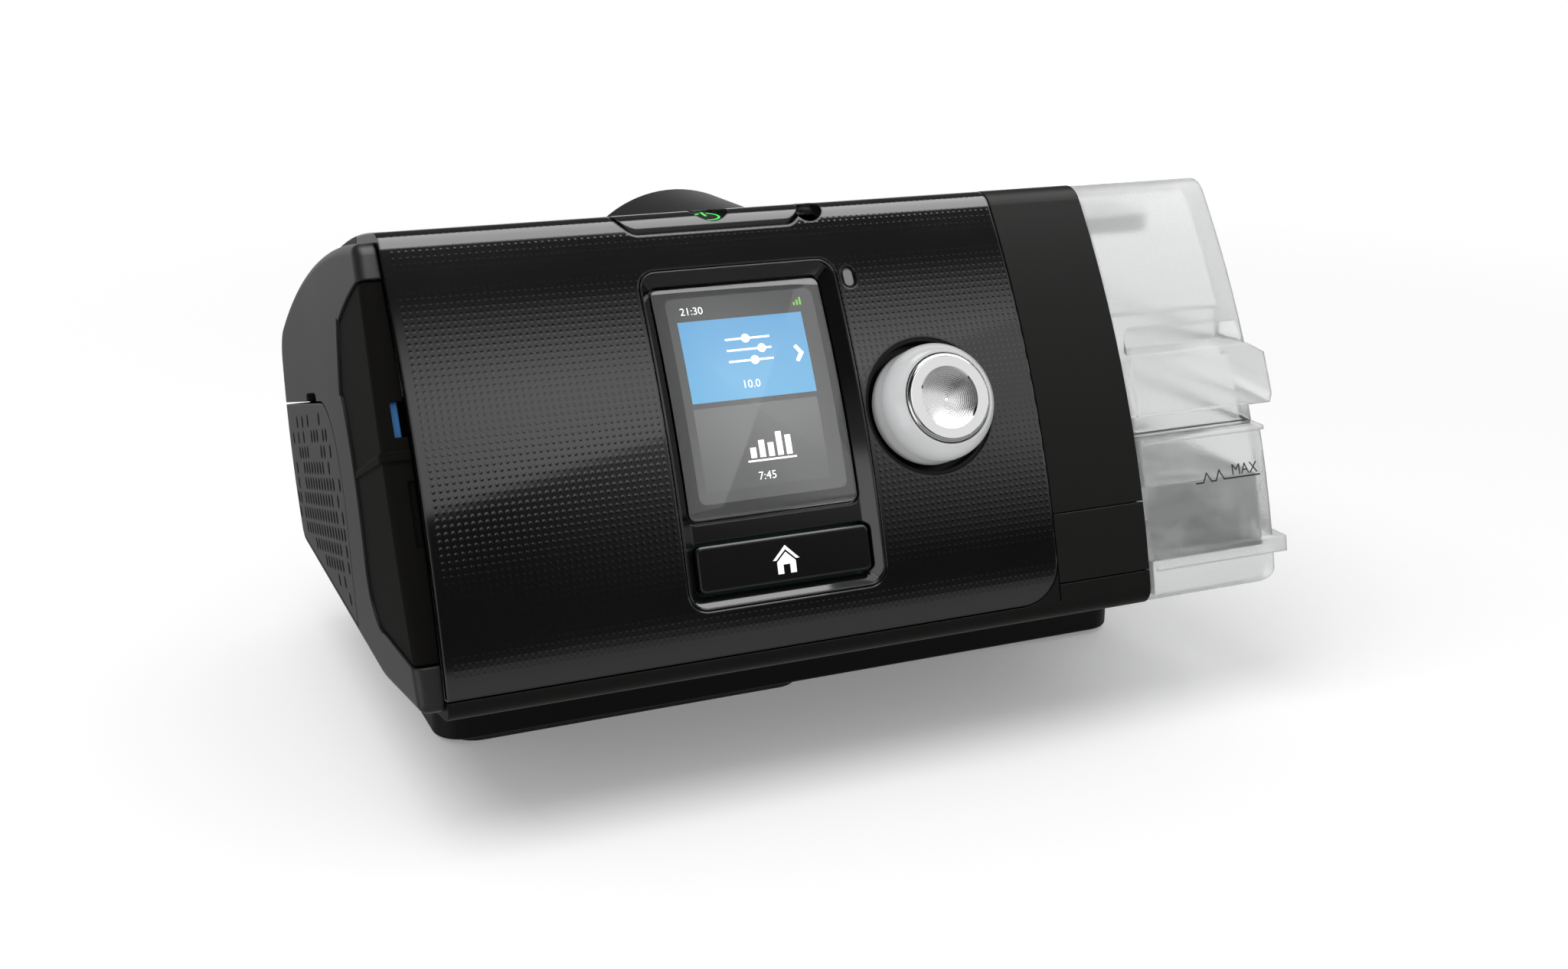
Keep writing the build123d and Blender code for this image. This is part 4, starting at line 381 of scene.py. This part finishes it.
# ---- screen ----
# Cover glass with a chamfered edge over a colour panel. The panel shows a plain home page: a clock, a
# signal gauge, a blue tile and a grey tile with simple pictures and numbers.
SCREEN_X, SCREEN_LEAN = -0.0233, 26.45
GLASS_W, GLASS_H, GLASS_T, GLASS_DEPTH = 37.9 * MM, 48.9 * MM, 1.2 * MM, 2.4 * MM
PANEL_DEPTH = 3.95 * MM
BEND_STEPS, BEND_STEP = 11, 0.0022


def bend_to_face(shape, depth):
    """Bends flat work, drawn about the middle of the screen, to the bow of the face at a depth."""
    for step in range(-BEND_STEPS, BEND_STEPS + 1):
        bmesh.ops.bisect_plane(shape, geom=shape.verts[:] + shape.edges[:] + shape.faces[:],
                               plane_co=(0, step * BEND_STEP, 0), plane_no=(0, 1, 0))
    for vertex in shape.verts:
        lean = radians(SCREEN_LEAN) + vertex.co.y / (FACE_R - depth)
        reach = FACE_R - depth + vertex.co.z
        vertex.co = (SCREEN_X + vertex.co.x, FACE_Y - reach * cos(lean), FACE_Z + reach * sin(lean))


def rounded_slab(shape, width, height, corner, low, high, chamfer=0.0, middle=(0, 0)):
    """Slab with round corners, from one height to another, its top edge chamfered if asked."""
    made = bmesh.ops.create_grid(shape, x_segments=1, y_segments=1, size=0.5)
    bmesh.ops.scale(shape, vec=(width, height, 1), verts=made["verts"])
    bmesh.ops.translate(shape, vec=(*middle, low), verts=made["verts"])
    bmesh.ops.bevel(shape, geom=made["verts"], offset=corner, segments=6, profile=0.5, affect="VERTICES",
                    material=-1)
    face = [f for f in shape.faces if all(abs(v.co.z - low) < 1e-7 for v in f.verts)][-1]
    lifted = lift_face(shape, face, (0, 0, high - low))
    if chamfer:
        top = [f for f in lifted if isinstance(f, bmesh.types.BMFace)][0]
        bmesh.ops.bevel(shape, geom=list(top.edges), offset=chamfer, segments=2, profile=0.5, affect="EDGES",
                        material=-1)


glass, tree, shader = new_material("cover glass")
smudge = add_node(tree, "ShaderNodeGroup", node_tree=grain)
tree.links.new(blend_colours(tree, smudge.outputs["Tone"], (0.95, 0.96, 0.96), (0.98, 0.99, 0.99)),
               shader.inputs["Base Color"])
shader.inputs["Roughness"].default_value = 0.0
shader.inputs["Transmission Weight"].default_value = 1.0
shader.inputs["IOR"].default_value = 1.62

cover = bmesh.new()
rounded_slab(cover, GLASS_W, GLASS_H, 1.5 * MM, -GLASS_T, 0, chamfer=0.15 * MM)
bend_to_face(cover, GLASS_DEPTH)
cover_glass = finish_piece("cover_glass", cover, glass, "casing", smooth=True)
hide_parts("screen_lens")


def lit_surface(name, top, bottom, low, high):
    """Backlit colour that runs from one tone at the bottom of the screen to another at its top."""
    material, tree, shader = new_material(name)
    z = split_axes(tree, place_in_part(tree))[2]
    colour = blend_colours(tree, remap(tree, z, low, high), bottom, top)
    tree.links.new(colour, shader.inputs["Emission Color"])
    shader.inputs["Emission Strength"].default_value = 1.0
    shader.inputs["Base Color"].default_value = (0.01, 0.01, 0.01, 1)
    shader.inputs["Specular IOR Level"].default_value = 0.0
    add_grain(tree, shader)
    return material


# each layer: name, width, height, corner radius, middle and lift in mm, material, its top and bottom tone
LAYER_T = 0.04
screen_layers = (
    ("screen_mask", 37.6, 48.6, 1.4, (0, 0), 0.0, "screen mask ink", (0.022,) * 3, (0.022,) * 3),
    ("lit_panel", 33.1, 43.6, 1.6, (0.75, 0.6), 0.05, "panel backlight", (0.085,) * 3, (0.11,) * 3),
    ("blue_tile", 27.8, 17.5, 0.1, (-0.05, 8.45), 0.1, "blue tile", (0.16, 0.45, 0.78), (0.17, 0.50, 0.82)),
    ("grey_tile", 27.7, 17.3, 0.1, (-0.2, -10.1), 0.1, "grey tile", (0.19,) * 3, (0.13,) * 3),
)
for name, width, height, corner, middle, lift, label, top, bottom in screen_layers:
    layer = bmesh.new()
    rounded_slab(layer, width * MM, height * MM, corner * MM, lift * MM, (lift + LAYER_T) * MM,
                 middle=(middle[0] * MM, middle[1] * MM))
    bend_to_face(layer, PANEL_DEPTH)
    heights = [v.co.z for v in layer.verts]
    lit = lit_surface(label, top, bottom, min(heights), max(heights))
    finish_piece(name, layer, lit, "casing")

PIXELS_LOW, PIXELS_HIGH = 0.15 * MM, 0.19 * MM
PICTURES_SHIFT = (1.2 * MM, 0.95 * MM, 0)


def pixel_outline(shape, corners):
    raised_outline(shape, [(x * MM, y * MM) for x, y in corners], PIXELS_LOW, PIXELS_HIGH)


def pixel_box(shape, x0, y0, x1, y1):
    pixel_outline(shape, ((x0, y0), (x1, y0), (x1, y1), (x0, y1)))


pictures = bmesh.new()
# sliders picture on the blue tile: three lines, each with a round knob
SLIDER_X0, SLIDER_X1, SLIDER_HALF, KNOB_R = -5.6, 4.4, 0.22, 0.95
for level, knob in ((11.6, -1.0), (9.2, 2.2), (6.8, 0.2)):
    pixel_box(pictures, SLIDER_X0, level - SLIDER_HALF, SLIDER_X1, level + SLIDER_HALF)
    disc = bmesh.ops.create_cone(pictures, cap_ends=True, segments=24, radius1=KNOB_R * MM,
                                 radius2=KNOB_R * MM, depth=PIXELS_HIGH - PIXELS_LOW)
    bmesh.ops.translate(pictures, vec=(knob * MM, level * MM, (PIXELS_LOW + PIXELS_HIGH) / 2 + 0.01 * MM),
                        verts=disc["verts"])
# arrow at the tile's right edge
pixel_outline(pictures, ((9.3, 8.8), (10.0, 9.2), (11.4, 7.3), (10.0, 5.4), (9.3, 5.8), (10.3, 7.3)))
# chart picture on the grey tile: five bars over a line
CHART_Y, BAR_W = -13.8, 1.3
for spot, tall in ((-4.4, 2.2), (-2.4, 3.6), (-0.4, 2.9), (1.6, 5.0), (3.6, 4.1)):
    pixel_box(pictures, spot, CHART_Y, spot + BAR_W, CHART_Y + tall)
pixel_box(pictures, -5.2, CHART_Y - 0.8, 5.7, CHART_Y - 0.4)
bmesh.ops.translate(pictures, vec=PICTURES_SHIFT, verts=pictures.verts)
bend_to_face(pictures, PANEL_DEPTH)
screen_white = glowing_white("lit white pixels", 1.0)
finish_piece("screen_pictures", pictures, screen_white, "casing")


def add_text(shape, text, size, half_thick, place):
    """Adds centred text in a plain face, laid flat and then moved to its place."""
    letters = bpy.data.curves.new("text", "FONT")
    letters.body, letters.size, letters.extrude = text, size, half_thick
    letters.align_x = "CENTER"
    letters.resolution_u = 3
    holder = bpy.data.objects.new("text", letters)
    mesh = bpy.data.meshes.new_from_object(holder)
    bpy.data.objects.remove(holder)
    mesh.transform(place)
    shape.from_mesh(mesh)
    bpy.data.meshes.remove(mesh)


numbers = bmesh.new()
for text, size, x, y in (("21:30", 2.3, -10.4, 18.65), ("10.0", 2.4, -0.4, 1.95),
                         ("7:45", 2.4, -0.2, -17.45)):
    add_text(numbers, text, size * MM, 0.01 * MM, Matrix.Translation((x * MM, y * MM, 0.17 * MM)))
bend_to_face(numbers, PANEL_DEPTH)
finish_piece("screen_numbers", numbers, screen_white, "casing")

GAUGE_X, GAUGE_Y, GAUGE_PITCH, GAUGE_BAR = 11.3, 17.8, 0.72, 0.42
gauge = bmesh.new()
for step in range(3):
    x = GAUGE_X + GAUGE_PITCH * step
    pixel_box(gauge, x, GAUGE_Y, x + GAUGE_BAR, GAUGE_Y + 0.7 + 0.5 * step)
bmesh.ops.translate(gauge, vec=PICTURES_SHIFT, verts=gauge.verts)
bend_to_face(gauge, PANEL_DEPTH)
green_pixels = lit_surface("green pixels", (0.28, 0.7, 0.08), (0.28, 0.7, 0.08), 0.08, 0.1)
finish_piece("signal_gauge", gauge, green_pixels, "casing")
finish_nodes(moulded_plastic("panel frame", (0.02, 0.02, 0.02), (0.03, 0.03, 0.03), 0.5), "lcd_panel")

# ---- dial ----
# A push-and-turn knob: a pearly white skirt of ASA plastic in a black cup, with a chromed cap pressed in.
# The hollow of the cap is turned, which leaves fine rings.
DIAL_LEAN = 24.65
DIAL = Vector(face_place(0.0148, DIAL_LEAN, 0).translation)
DIAL_OUT = Vector((0, -cos(radians(DIAL_LEAN)), sin(radians(DIAL_LEAN))))
HOLLOW_RIM, HOLLOW_EDGE, RING_PITCH, RING_DEPTH = 0.0064, 0.0062, 0.0004, 0.000006
cup_black = moulded_plastic("black cup", (0.003, 0.003, 0.003), (0.005, 0.005, 0.005), 0.3, edge=0.0003,
                            specular=0.2)
finish_nodes(cup_black, "dial_cup")
pearl_white = moulded_plastic("pearly white ASA", (0.66, 0.665, 0.67), (0.71, 0.715, 0.72), 0.22, pit=1.0,
                              depth=0.000003, uneven=0.08, edge=0.0003)
pearl_white.node_tree.nodes["Principled BSDF"].inputs["Coat Weight"].default_value = 0.4
finish_nodes(pearl_white, "dial_skirt")


def vector_calc(tree, operation, first, second=None):
    node = add_node(tree, "ShaderNodeVectorMath", operation=operation)
    tree.links.new(first, node.inputs[0])
    if isinstance(second, Vector):
        node.inputs[1].default_value = second
    elif second is not None:
        tree.links.new(second, node.inputs[1])
    return node.outputs["Vector" if operation == "SUBTRACT" else "Value"]


chrome, tree, shader = new_material("turned chrome cap")
from_middle = vector_calc(tree, "SUBTRACT", place_in_part(tree), DIAL)
height = vector_calc(tree, "DOT_PRODUCT", from_middle, DIAL_OUT)
reach_squared = vector_calc(tree, "DOT_PRODUCT", from_middle, from_middle)
from_axis = calc(tree, "SQRT", calc(tree, "MAXIMUM", calc(tree, "SUBTRACT", reach_squared,
                                                          product(tree, height, height)), 0.0))
hollow = remap(tree, from_axis, HOLLOW_RIM, HOLLOW_EDGE)
rings = calc(tree, "SINE", product(tree, from_axis, 2 * pi / RING_PITCH))
add_bump(tree, shader, product(tree, rings, hollow), RING_DEPTH)
tree.links.new(remap(tree, hollow, 0.0, 1.0, 0.06, 0.24, "LINEAR"), shader.inputs["Roughness"])
ring_tone = product(tree, remap(tree, rings, -1.0, 1.0, 0.0, 1.0, "LINEAR"), hollow)
tree.links.new(blend_colours(tree, ring_tone, (0.9, 0.9, 0.91), (0.8, 0.8, 0.81)),
               shader.inputs["Base Color"])
shader.inputs["Metallic"].default_value = 1.0
finish_nodes(chrome, "dial_cap", "dial_shaft")

# ---- start button light ----
# A smoked disc in the middle of the start bar, tilted to the front, with a standby sign lit green from
# below: an open ring with a bar in its gap.
LIGHT_X, LIGHT_Y = -0.0253, -0.0319
RING_IN, RING_OUT, SIGN_BLUR = 0.0024, 0.0029, 0.00005
GAP_HALF, BAR_HALF, BAR_Y0, BAR_Y1 = 0.0008, 0.0003, 0.0004, 0.0034
light_green, tree, shader = new_material("smoked disc with green ring")
x, y = split_axes(tree, place_in_part(tree))[:2]
dx, dy = calc(tree, "SUBTRACT", x, LIGHT_X), calc(tree, "SUBTRACT", y, LIGHT_Y)
aside = calc(tree, "ABSOLUTE", dx)
radius = length(tree, dx, dy)
ring = product(tree, remap(tree, radius, RING_IN - SIGN_BLUR, RING_IN + SIGN_BLUR),
               remap(tree, radius, RING_OUT + SIGN_BLUR, RING_OUT - SIGN_BLUR))
gap = product(tree, calc(tree, "LESS_THAN", aside, GAP_HALF), calc(tree, "GREATER_THAN", dy, 0.0))
bar = product(tree, calc(tree, "LESS_THAN", aside, BAR_HALF), calc(tree, "GREATER_THAN", dy, BAR_Y0),
              calc(tree, "LESS_THAN", dy, BAR_Y1))
sign = calc(tree, "MAXIMUM", product(tree, ring, calc(tree, "SUBTRACT", 1.0, gap)), bar)
tree.links.new(blend_colours(tree, sign, (0.0, 0.0, 0.0), (0.06, 0.9, 0.1)), shader.inputs["Emission Color"])
shader.inputs["Emission Strength"].default_value = 1.0
tree.links.new(blend_colours(tree, sign, (0.012, 0.013, 0.012), (0.05, 0.3, 0.06)),
               shader.inputs["Base Color"])
shader.inputs["Roughness"].default_value = 0.1
finish_nodes(light_green, "status_light")

# ---- light sensor window ----
# A small clear pill of polycarbonate set flush in the fascia, black at its rim, with a grey sensor
# behind it.
PILL_HALF, PILL_GREY_R, PILL_BLACK_R = 0.00085, 0.00095, 0.0011
pill = face_place(0.002, 32.65, 0)
sensor = moulded_plastic("sensor window", (0.2, 0.2, 0.2), (0.3, 0.3, 0.3), 0.1, pit=0.2, depth=0.000005,
                         edge=0.0007)
tree, shader = sensor.node_tree, sensor.node_tree.nodes["Principled BSDF"]
offset = vector_calc(tree, "SUBTRACT", place_in_part(tree), Vector(pill.translation))
rise = vector_calc(tree, "DOT_PRODUCT", offset, pill.col[1].to_3d())
past = calc(tree, "MAXIMUM", calc(tree, "SUBTRACT", calc(tree, "ABSOLUTE", rise), PILL_HALF), 0.0)
x = split_axes(tree, offset)[0]
grey = shader.inputs["Base Color"].links[0].from_socket
rim = remap(tree, length(tree, past, x), PILL_GREY_R, PILL_BLACK_R)
tree.links.new(blend_colours(tree, rim, grey, (0.004, 0.004, 0.004)), shader.inputs["Base Color"])
finish_nodes(sensor, "sensor_window")


# ---- water tub ----
# Base and lid of clear polycarbonate with a fine pebbled texture, a silicone seal between them, and
# water up to the printed line. A milky step in the floor shows through, and a grey duct under the roof
# whose grey stands in partly for the dark bay seen through the lid: painted shade.
def frosted(name, tint, roughness, pit, depth):
    """Clear plastic with a pebbled skin that blurs what is behind it."""
    material, tree, shader = new_material(name)
    shader.inputs["Base Color"].default_value = (*tint, 1)
    shader.inputs["Transmission Weight"].default_value = 0.88
    shader.inputs["IOR"].default_value = 1.16
    shader.inputs["Coat Weight"].default_value = 0.5
    shader.inputs["Coat Roughness"].default_value = 0.18
    skin = add_grain(tree, shader, pit, roughness, uneven=0.05)
    normal = add_bump(tree, shader, skin["Height"], depth, edge=0.0009)
    tree.links.new(normal, shader.inputs["Coat Normal"])
    return material


clear_plastic = frosted("pebbled clear polycarbonate", (0.925, 0.93, 0.93), 0.3, 2.0, 0.00012)
finish_nodes(clear_plastic, "tub_lid", "tub_base")
finish_nodes(frosted("silicone seal", (0.9, 0.92, 0.92), 0.35, 2.0, 0.00002), "tub_seal")

water_material, tree, shader = new_material("water")
shader.inputs["Transmission Weight"].default_value = 1.0
shader.inputs["IOR"].default_value = 1.33
# Grey blotches in the water's colour stand in for the dark shapes seen blurred through it: painted shade and
# reflection.
painted_blotches = remap(tree, cloudiness(tree, 75.0, 1.0), 0.42, 0.56)
tree.links.new(blend_colours(tree, painted_blotches, (0.5, 0.52, 0.515), (1.0, 1.0, 1.0)), shader.inputs["Base Color"])
ripples = add_grain(tree, shader, pit=0.08, roughness=0.02, uneven=0.01)
add_bump(tree, shader, ripples["Height"], 0.0022)

INNER_R = FACE_R - 0.0021               # the tub's bowed front wall, from inside
FILL_X0, FILL_W, FILL_Y1 = 0.0663, 0.0302, 0.0619
TUB_FLOOR, FLOOR_BEND_Y, FLOOR_BEND_Z = 0.0289, 0.0578, 0.033
STEP_TOP, WATER_TOP, SKIN_GAP = 0.0362, 0.0523, 0.0001


def tub_filling(low, top, rear):
    """Block that fills the tub between two heights, bowed in front, with a rear edge of a few corners."""
    block = bmesh.new()
    start = block.verts.new((FILL_X0, FACE_Y - sqrt(INNER_R**2 - (low - FACE_Z) ** 2), low))
    reach = [Vector((0, -sqrt(INNER_R**2 - (z - FACE_Z) ** 2), z - FACE_Z)) for z in (low, top)]
    bmesh.ops.spin(block, geom=[start], cent=(FILL_X0, FACE_Y, FACE_Z), axis=(-1, 0, 0),
                   angle=reach[0].angle(reach[1]), steps=8)
    front = sorted(block.verts, key=lambda v: v.co.z)
    back = [block.verts.new((FILL_X0, y, z)) for y, z in rear]
    for pair in zip([front[-1], *back], [*back, front[0]]):
        block.edges.new(pair)
    profile = bmesh.ops.contextual_create(block, geom=block.edges[:])["faces"]
    lift_face(block, profile[0], (FILL_W, 0, 0))
    return block


water_low = STEP_TOP + SKIN_GAP
water = tub_filling(water_low, WATER_TOP, [(FILL_Y1, WATER_TOP), (FILL_Y1, water_low)])
finish_piece("tub_water", water, water_material, "water_tub")
step_white = moulded_plastic("milky floor step", (0.78, 0.79, 0.79), (0.86, 0.87, 0.87), 0.3, pit=2.0)
floor_step = tub_filling(TUB_FLOOR, STEP_TOP, [(FILL_Y1, STEP_TOP), (FILL_Y1, FLOOR_BEND_Z),
                                               (FLOOR_BEND_Y, TUB_FLOOR)])
finish_piece("tub_floor_step", floor_step, step_white, "water_tub")

# air duct: a flat box under the roof of the lid and a wall down from it, in mm; its grey is partly painted
# shade
DUCT_W, DUCT_D, DUCT_X, DUCT_Y, DUCT_WALL_T, DUCT_WALL_X = 24, 20, 79, -18, 3, 68.6
DUCT_WALL_LOW, DUCT_LOW, DUCT_TOP = 72.0, 103.0, 107.0
duct_shade_grey = moulded_plastic("grey duct plastic, painted shade", (0.5, 0.505, 0.505), (0.58, 0.585, 0.585), 0.4, pit=2.0)
duct = bmesh.new()
rounded_slab(duct, DUCT_W * MM, DUCT_D * MM, 5 * MM, DUCT_LOW * MM, DUCT_TOP * MM,
             middle=(DUCT_X * MM, DUCT_Y * MM))
rounded_slab(duct, DUCT_WALL_T * MM, DUCT_D * MM, 1.2 * MM, DUCT_WALL_LOW * MM, DUCT_LOW * MM,
             middle=(DUCT_WALL_X * MM, DUCT_Y * MM))
finish_piece("lid_air_duct", duct, duct_shade_grey, "water_tub", smooth=True)

TUB_SKIN_R = FACE_R - 0.0002            # the tub's bowed front wall, from outside


def on_tub_face(shape, proud):
    """Lays a flat outline, drawn in X and Z, on the bowed front of the tub."""
    for vertex in shape.verts:
        out = TUB_SKIN_R + proud + vertex.co.y
        vertex.co.y = FACE_Y - sqrt(out**2 - (vertex.co.z - FACE_Z) ** 2)


fill_ink = moulded_plastic("dark fill-line ink", (0.02, 0.022, 0.022), (0.035, 0.036, 0.036), 0.5)
LINE_W, LINE_T, LINE_OVERLAP = 0.00032, 0.00003, 0.3
WAVE = ((79.0, 52.3), (81.0, 52.3), (82.0, 54.3), (83.2, 52.4), (84.5, 52.4), (85.5, 54.6), (86.7, 52.5),
        (96.6, 52.5))
line = bmesh.new()
for begin, end in zip(WAVE, WAVE[1:]):
    begin, end = Vector(begin) * MM, Vector(end) * MM
    along = (end - begin).normalized() * LINE_W
    side = Vector((-along.y, along.x)) / 2
    begin, end = begin - along * LINE_OVERLAP, end + along * LINE_OVERLAP
    corners = (begin - side, end - side, end + side, begin + side)
    face = line.faces.new([line.verts.new((c.x, 0, c.y)) for c in corners])
    lift_face(line, face, (0, LINE_T, 0))
on_tub_face(line, 0.0)
finish_piece("fill_line", line, fill_ink, "water_tub")

WORD_X, WORD_Z, WORD_SIZE, WORD_HALF = 0.0925, 0.0531, 0.0034, 0.000015
word = bmesh.new()
add_text(word, "MAX", WORD_SIZE, WORD_HALF,
         Matrix.Translation((WORD_X, 0, WORD_Z)) @ Matrix.Rotation(radians(90), 4, "X"))
on_tub_face(word, 0.00002)
finish_piece("fill_word", word, fill_ink, "water_tub")

# ---- studio ----
# A white floor that runs out of sight, one soft lamp overhead to the left, and a room that is white where it
# is seen directly or through the tub, and has a few soft boxes where gloss mirrors it. The floor glows more
# away from the part, which leaves painted shade near it.
FLOOR_HALF = 4.0
floor_white, tree, shader = new_material("white floor")
shader.inputs["Base Color"].default_value = (0.98, 0.98, 0.98, 1)
shader.inputs["Roughness"].default_value = 0.9
shader.inputs["Specular IOR Level"].default_value = 0.0
shader.inputs["Emission Color"].default_value = (1, 1, 1, 1)
# Glow that rises with distance from the part, so the floor is darker near it: painted shade.
from_part = vector_calc(tree, "LENGTH", place_in_part(tree))
tree.links.new(remap(tree, from_part, 0.2, 1.3, 0.2, 0.5), shader.inputs["Emission Strength"])
ground = bmesh.new()
bmesh.ops.create_grid(ground, x_segments=1, y_segments=1, size=FLOOR_HALF)
mesh = bpy.data.meshes.new("floor")
ground.to_mesh(mesh)
ground.free()
mesh.materials.append(floor_white)
floor = bpy.data.objects.new("floor", mesh)
bpy.context.scene.collection.objects.link(floor)
floor.visible_glossy = False

BOX_SLOPE, BOX_FOOT, EDGE_BLUR = 0.85, 0.285, 0.006     # slanting lower edge of the large box
GLOW_ACROSS, GLOW_UP, GLOW_RISE, GLOW_LIMIT = 0.26, 0.2, 7.0, 0.8
OVERHEAD_FRONT, OVERHEAD_BACK, OVERHEAD_LOW, OVERHEAD_LEVEL = 1.98, 2.0, 0.6, 4.2
DIFFUSE_LEVEL, THROUGH_TUB_LOSS = 0.56, 0.32


def front_room(tree, x, y, z):
    """What gloss mirrors in front of the part, laid out on an upright plane."""
    ahead = calc(tree, "MAXIMUM", product(tree, y, -1.0), 0.001)
    across, up = calc(tree, "DIVIDE", x, ahead), calc(tree, "DIVIDE", z, ahead)
    # large soft box, fading upwards and to the left
    over_edge = calc(tree, "SUBTRACT", calc(tree, "MULTIPLY_ADD", across, -BOX_SLOPE, up), BOX_FOOT)
    fade = product(tree, remap(tree, up, 0.8, 1.45, 1.35, 0.06), remap(tree, across, -0.15, 0.42, 0.1, 1.0))
    box = product(tree, remap(tree, over_edge, -EDGE_BLUR, EDGE_BLUR, kind="LINEAR"), fade)
    # faint glow below its right half
    glow = product(tree, calc(tree, "MAXIMUM", calc(tree, "SUBTRACT", across, GLOW_ACROSS), 0.0),
                   calc(tree, "MAXIMUM", calc(tree, "SUBTRACT", up, GLOW_UP), 0.0), GLOW_RISE)
    glow = product(tree, calc(tree, "MINIMUM", glow, GLOW_LIMIT),
                   remap(tree, over_edge, EDGE_BLUR, -EDGE_BLUR, kind="LINEAR"))
    # floor up to the horizon
    horizon = product(tree, remap(tree, up, 0.082, 0.068, 0.0, 0.45, "LINEAR"),
                      remap(tree, up, -0.35, -0.05, 0.5, 1.0))
    # low box far to the left
    left_box = product(tree, remap(tree, x, -0.75, -0.85, 0.0, 1.2),
                       remap(tree, z, 0.21, 0.19, 0.0, 1.0, "LINEAR"))
    return calc(tree, "MAXIMUM", calc(tree, "ADD", calc(tree, "ADD", box, glow), horizon), left_box)


def back_room(tree, x, z):
    """What gloss mirrors behind the part: bright low down, darker above and to the left."""
    low_wall = product(tree, remap(tree, z, 0.12, 0.28, 1.0, 0.12), remap(tree, z, -0.25, 0.0, 0.45, 1.0),
                       remap(tree, x, -0.04, -0.12, 1.0, 0.62))
    beside = product(tree, remap(tree, x, -0.15, -0.35, 0.0, 0.27), remap(tree, z, 0.2, 0.45, 1.0, 0.1))
    return calc(tree, "MAXIMUM", low_wall, beside)


def overhead_box(tree, x, y, z):
    """Strong box above the part, between two slanting planes, fading out to the left."""
    before = calc(tree, "GREATER_THAN", calc(tree, "MULTIPLY_ADD", y, OVERHEAD_FRONT, z), 0.0)
    behind = calc(tree, "GREATER_THAN", calc(tree, "MULTIPLY_ADD", y, -OVERHEAD_BACK, z), 0.0)
    return product(tree, before, OVERHEAD_LEVEL, behind, remap(tree, x, -0.3, -0.05),
                   calc(tree, "GREATER_THAN", z, OVERHEAD_LOW))


world = bpy.data.worlds.new("white studio")
bpy.context.scene.world = world
world.use_nodes = True
world.cycles.sampling_method = "NONE"
tree = world.node_tree
x, y, z = split_axes(tree, tree.nodes.new("ShaderNodeTexCoord").outputs["Generated"])
facing = calc(tree, "LESS_THAN", y, 0.0)
walls = calc(tree, "ADD", product(tree, facing, front_room(tree, x, y, z)),
             product(tree, calc(tree, "SUBTRACT", 1.0, facing), back_room(tree, x, z)))
overhead = overhead_box(tree, x, y, z)
mirrored = calc(tree, "MAXIMUM", product(tree, walls, calc(tree, "LESS_THAN", overhead, 0.5)), overhead)
path = tree.nodes.new("ShaderNodeLightPath")
after_diffuse = calc(tree, "GREATER_THAN", path.outputs["Diffuse Depth"], 0.5)
through = calc(tree, "GREATER_THAN", path.outputs["Transmission Depth"], 0.5)
seen = calc(tree, "MAXIMUM", path.outputs["Is Camera Ray"],
            calc(tree, "MAXIMUM", path.outputs["Is Transmission Ray"], through))
seen = calc(tree, "SUBTRACT", seen, product(tree, after_diffuse, THROUGH_TUB_LOSS), clamp=True)
soft = product(tree, path.outputs["Is Diffuse Ray"], DIFFUSE_LEVEL)
level = calc(tree, "MAXIMUM", calc(tree, "MAXIMUM", seen, soft),
             product(tree, path.outputs["Is Glossy Ray"], mirrored))
sky = tree.nodes["Background"]
tree.links.new(level, sky.inputs["Strength"])
sky.inputs["Color"].default_value = (1, 1, 1, 1)

lamp_data = bpy.data.lights.new("overhead lamp", "AREA")
lamp_data.shape, lamp_data.size, lamp_data.energy = "SQUARE", 0.9, 6.0
lamp = bpy.data.objects.new("overhead lamp", lamp_data)
lamp.location = (-0.42, -0.25, 1.1)
lamp.rotation_euler = (radians(-12), radians(-20), 0)
lamp.visible_glossy = lamp.visible_transmission = False
bpy.context.scene.collection.objects.link(lamp)

CAMERA_DOWN, CAMERA_RIGHT = 17.43, 23.65        # degrees below level, and to the right of +Y
camera_data = bpy.data.cameras.new("camera")
camera_data.lens, camera_data.sensor_width = 42.53, 36.0
camera = bpy.data.objects.new("camera", camera_data)
camera.location = (-0.1679, -0.3986, 0.1782)
camera.rotation_euler = (radians(90 - CAMERA_DOWN), 0, radians(-CAMERA_RIGHT))
bpy.context.scene.collection.objects.link(camera)
bpy.context.scene.camera = camera
bpy.context.scene.view_settings.view_transform = "Standard"
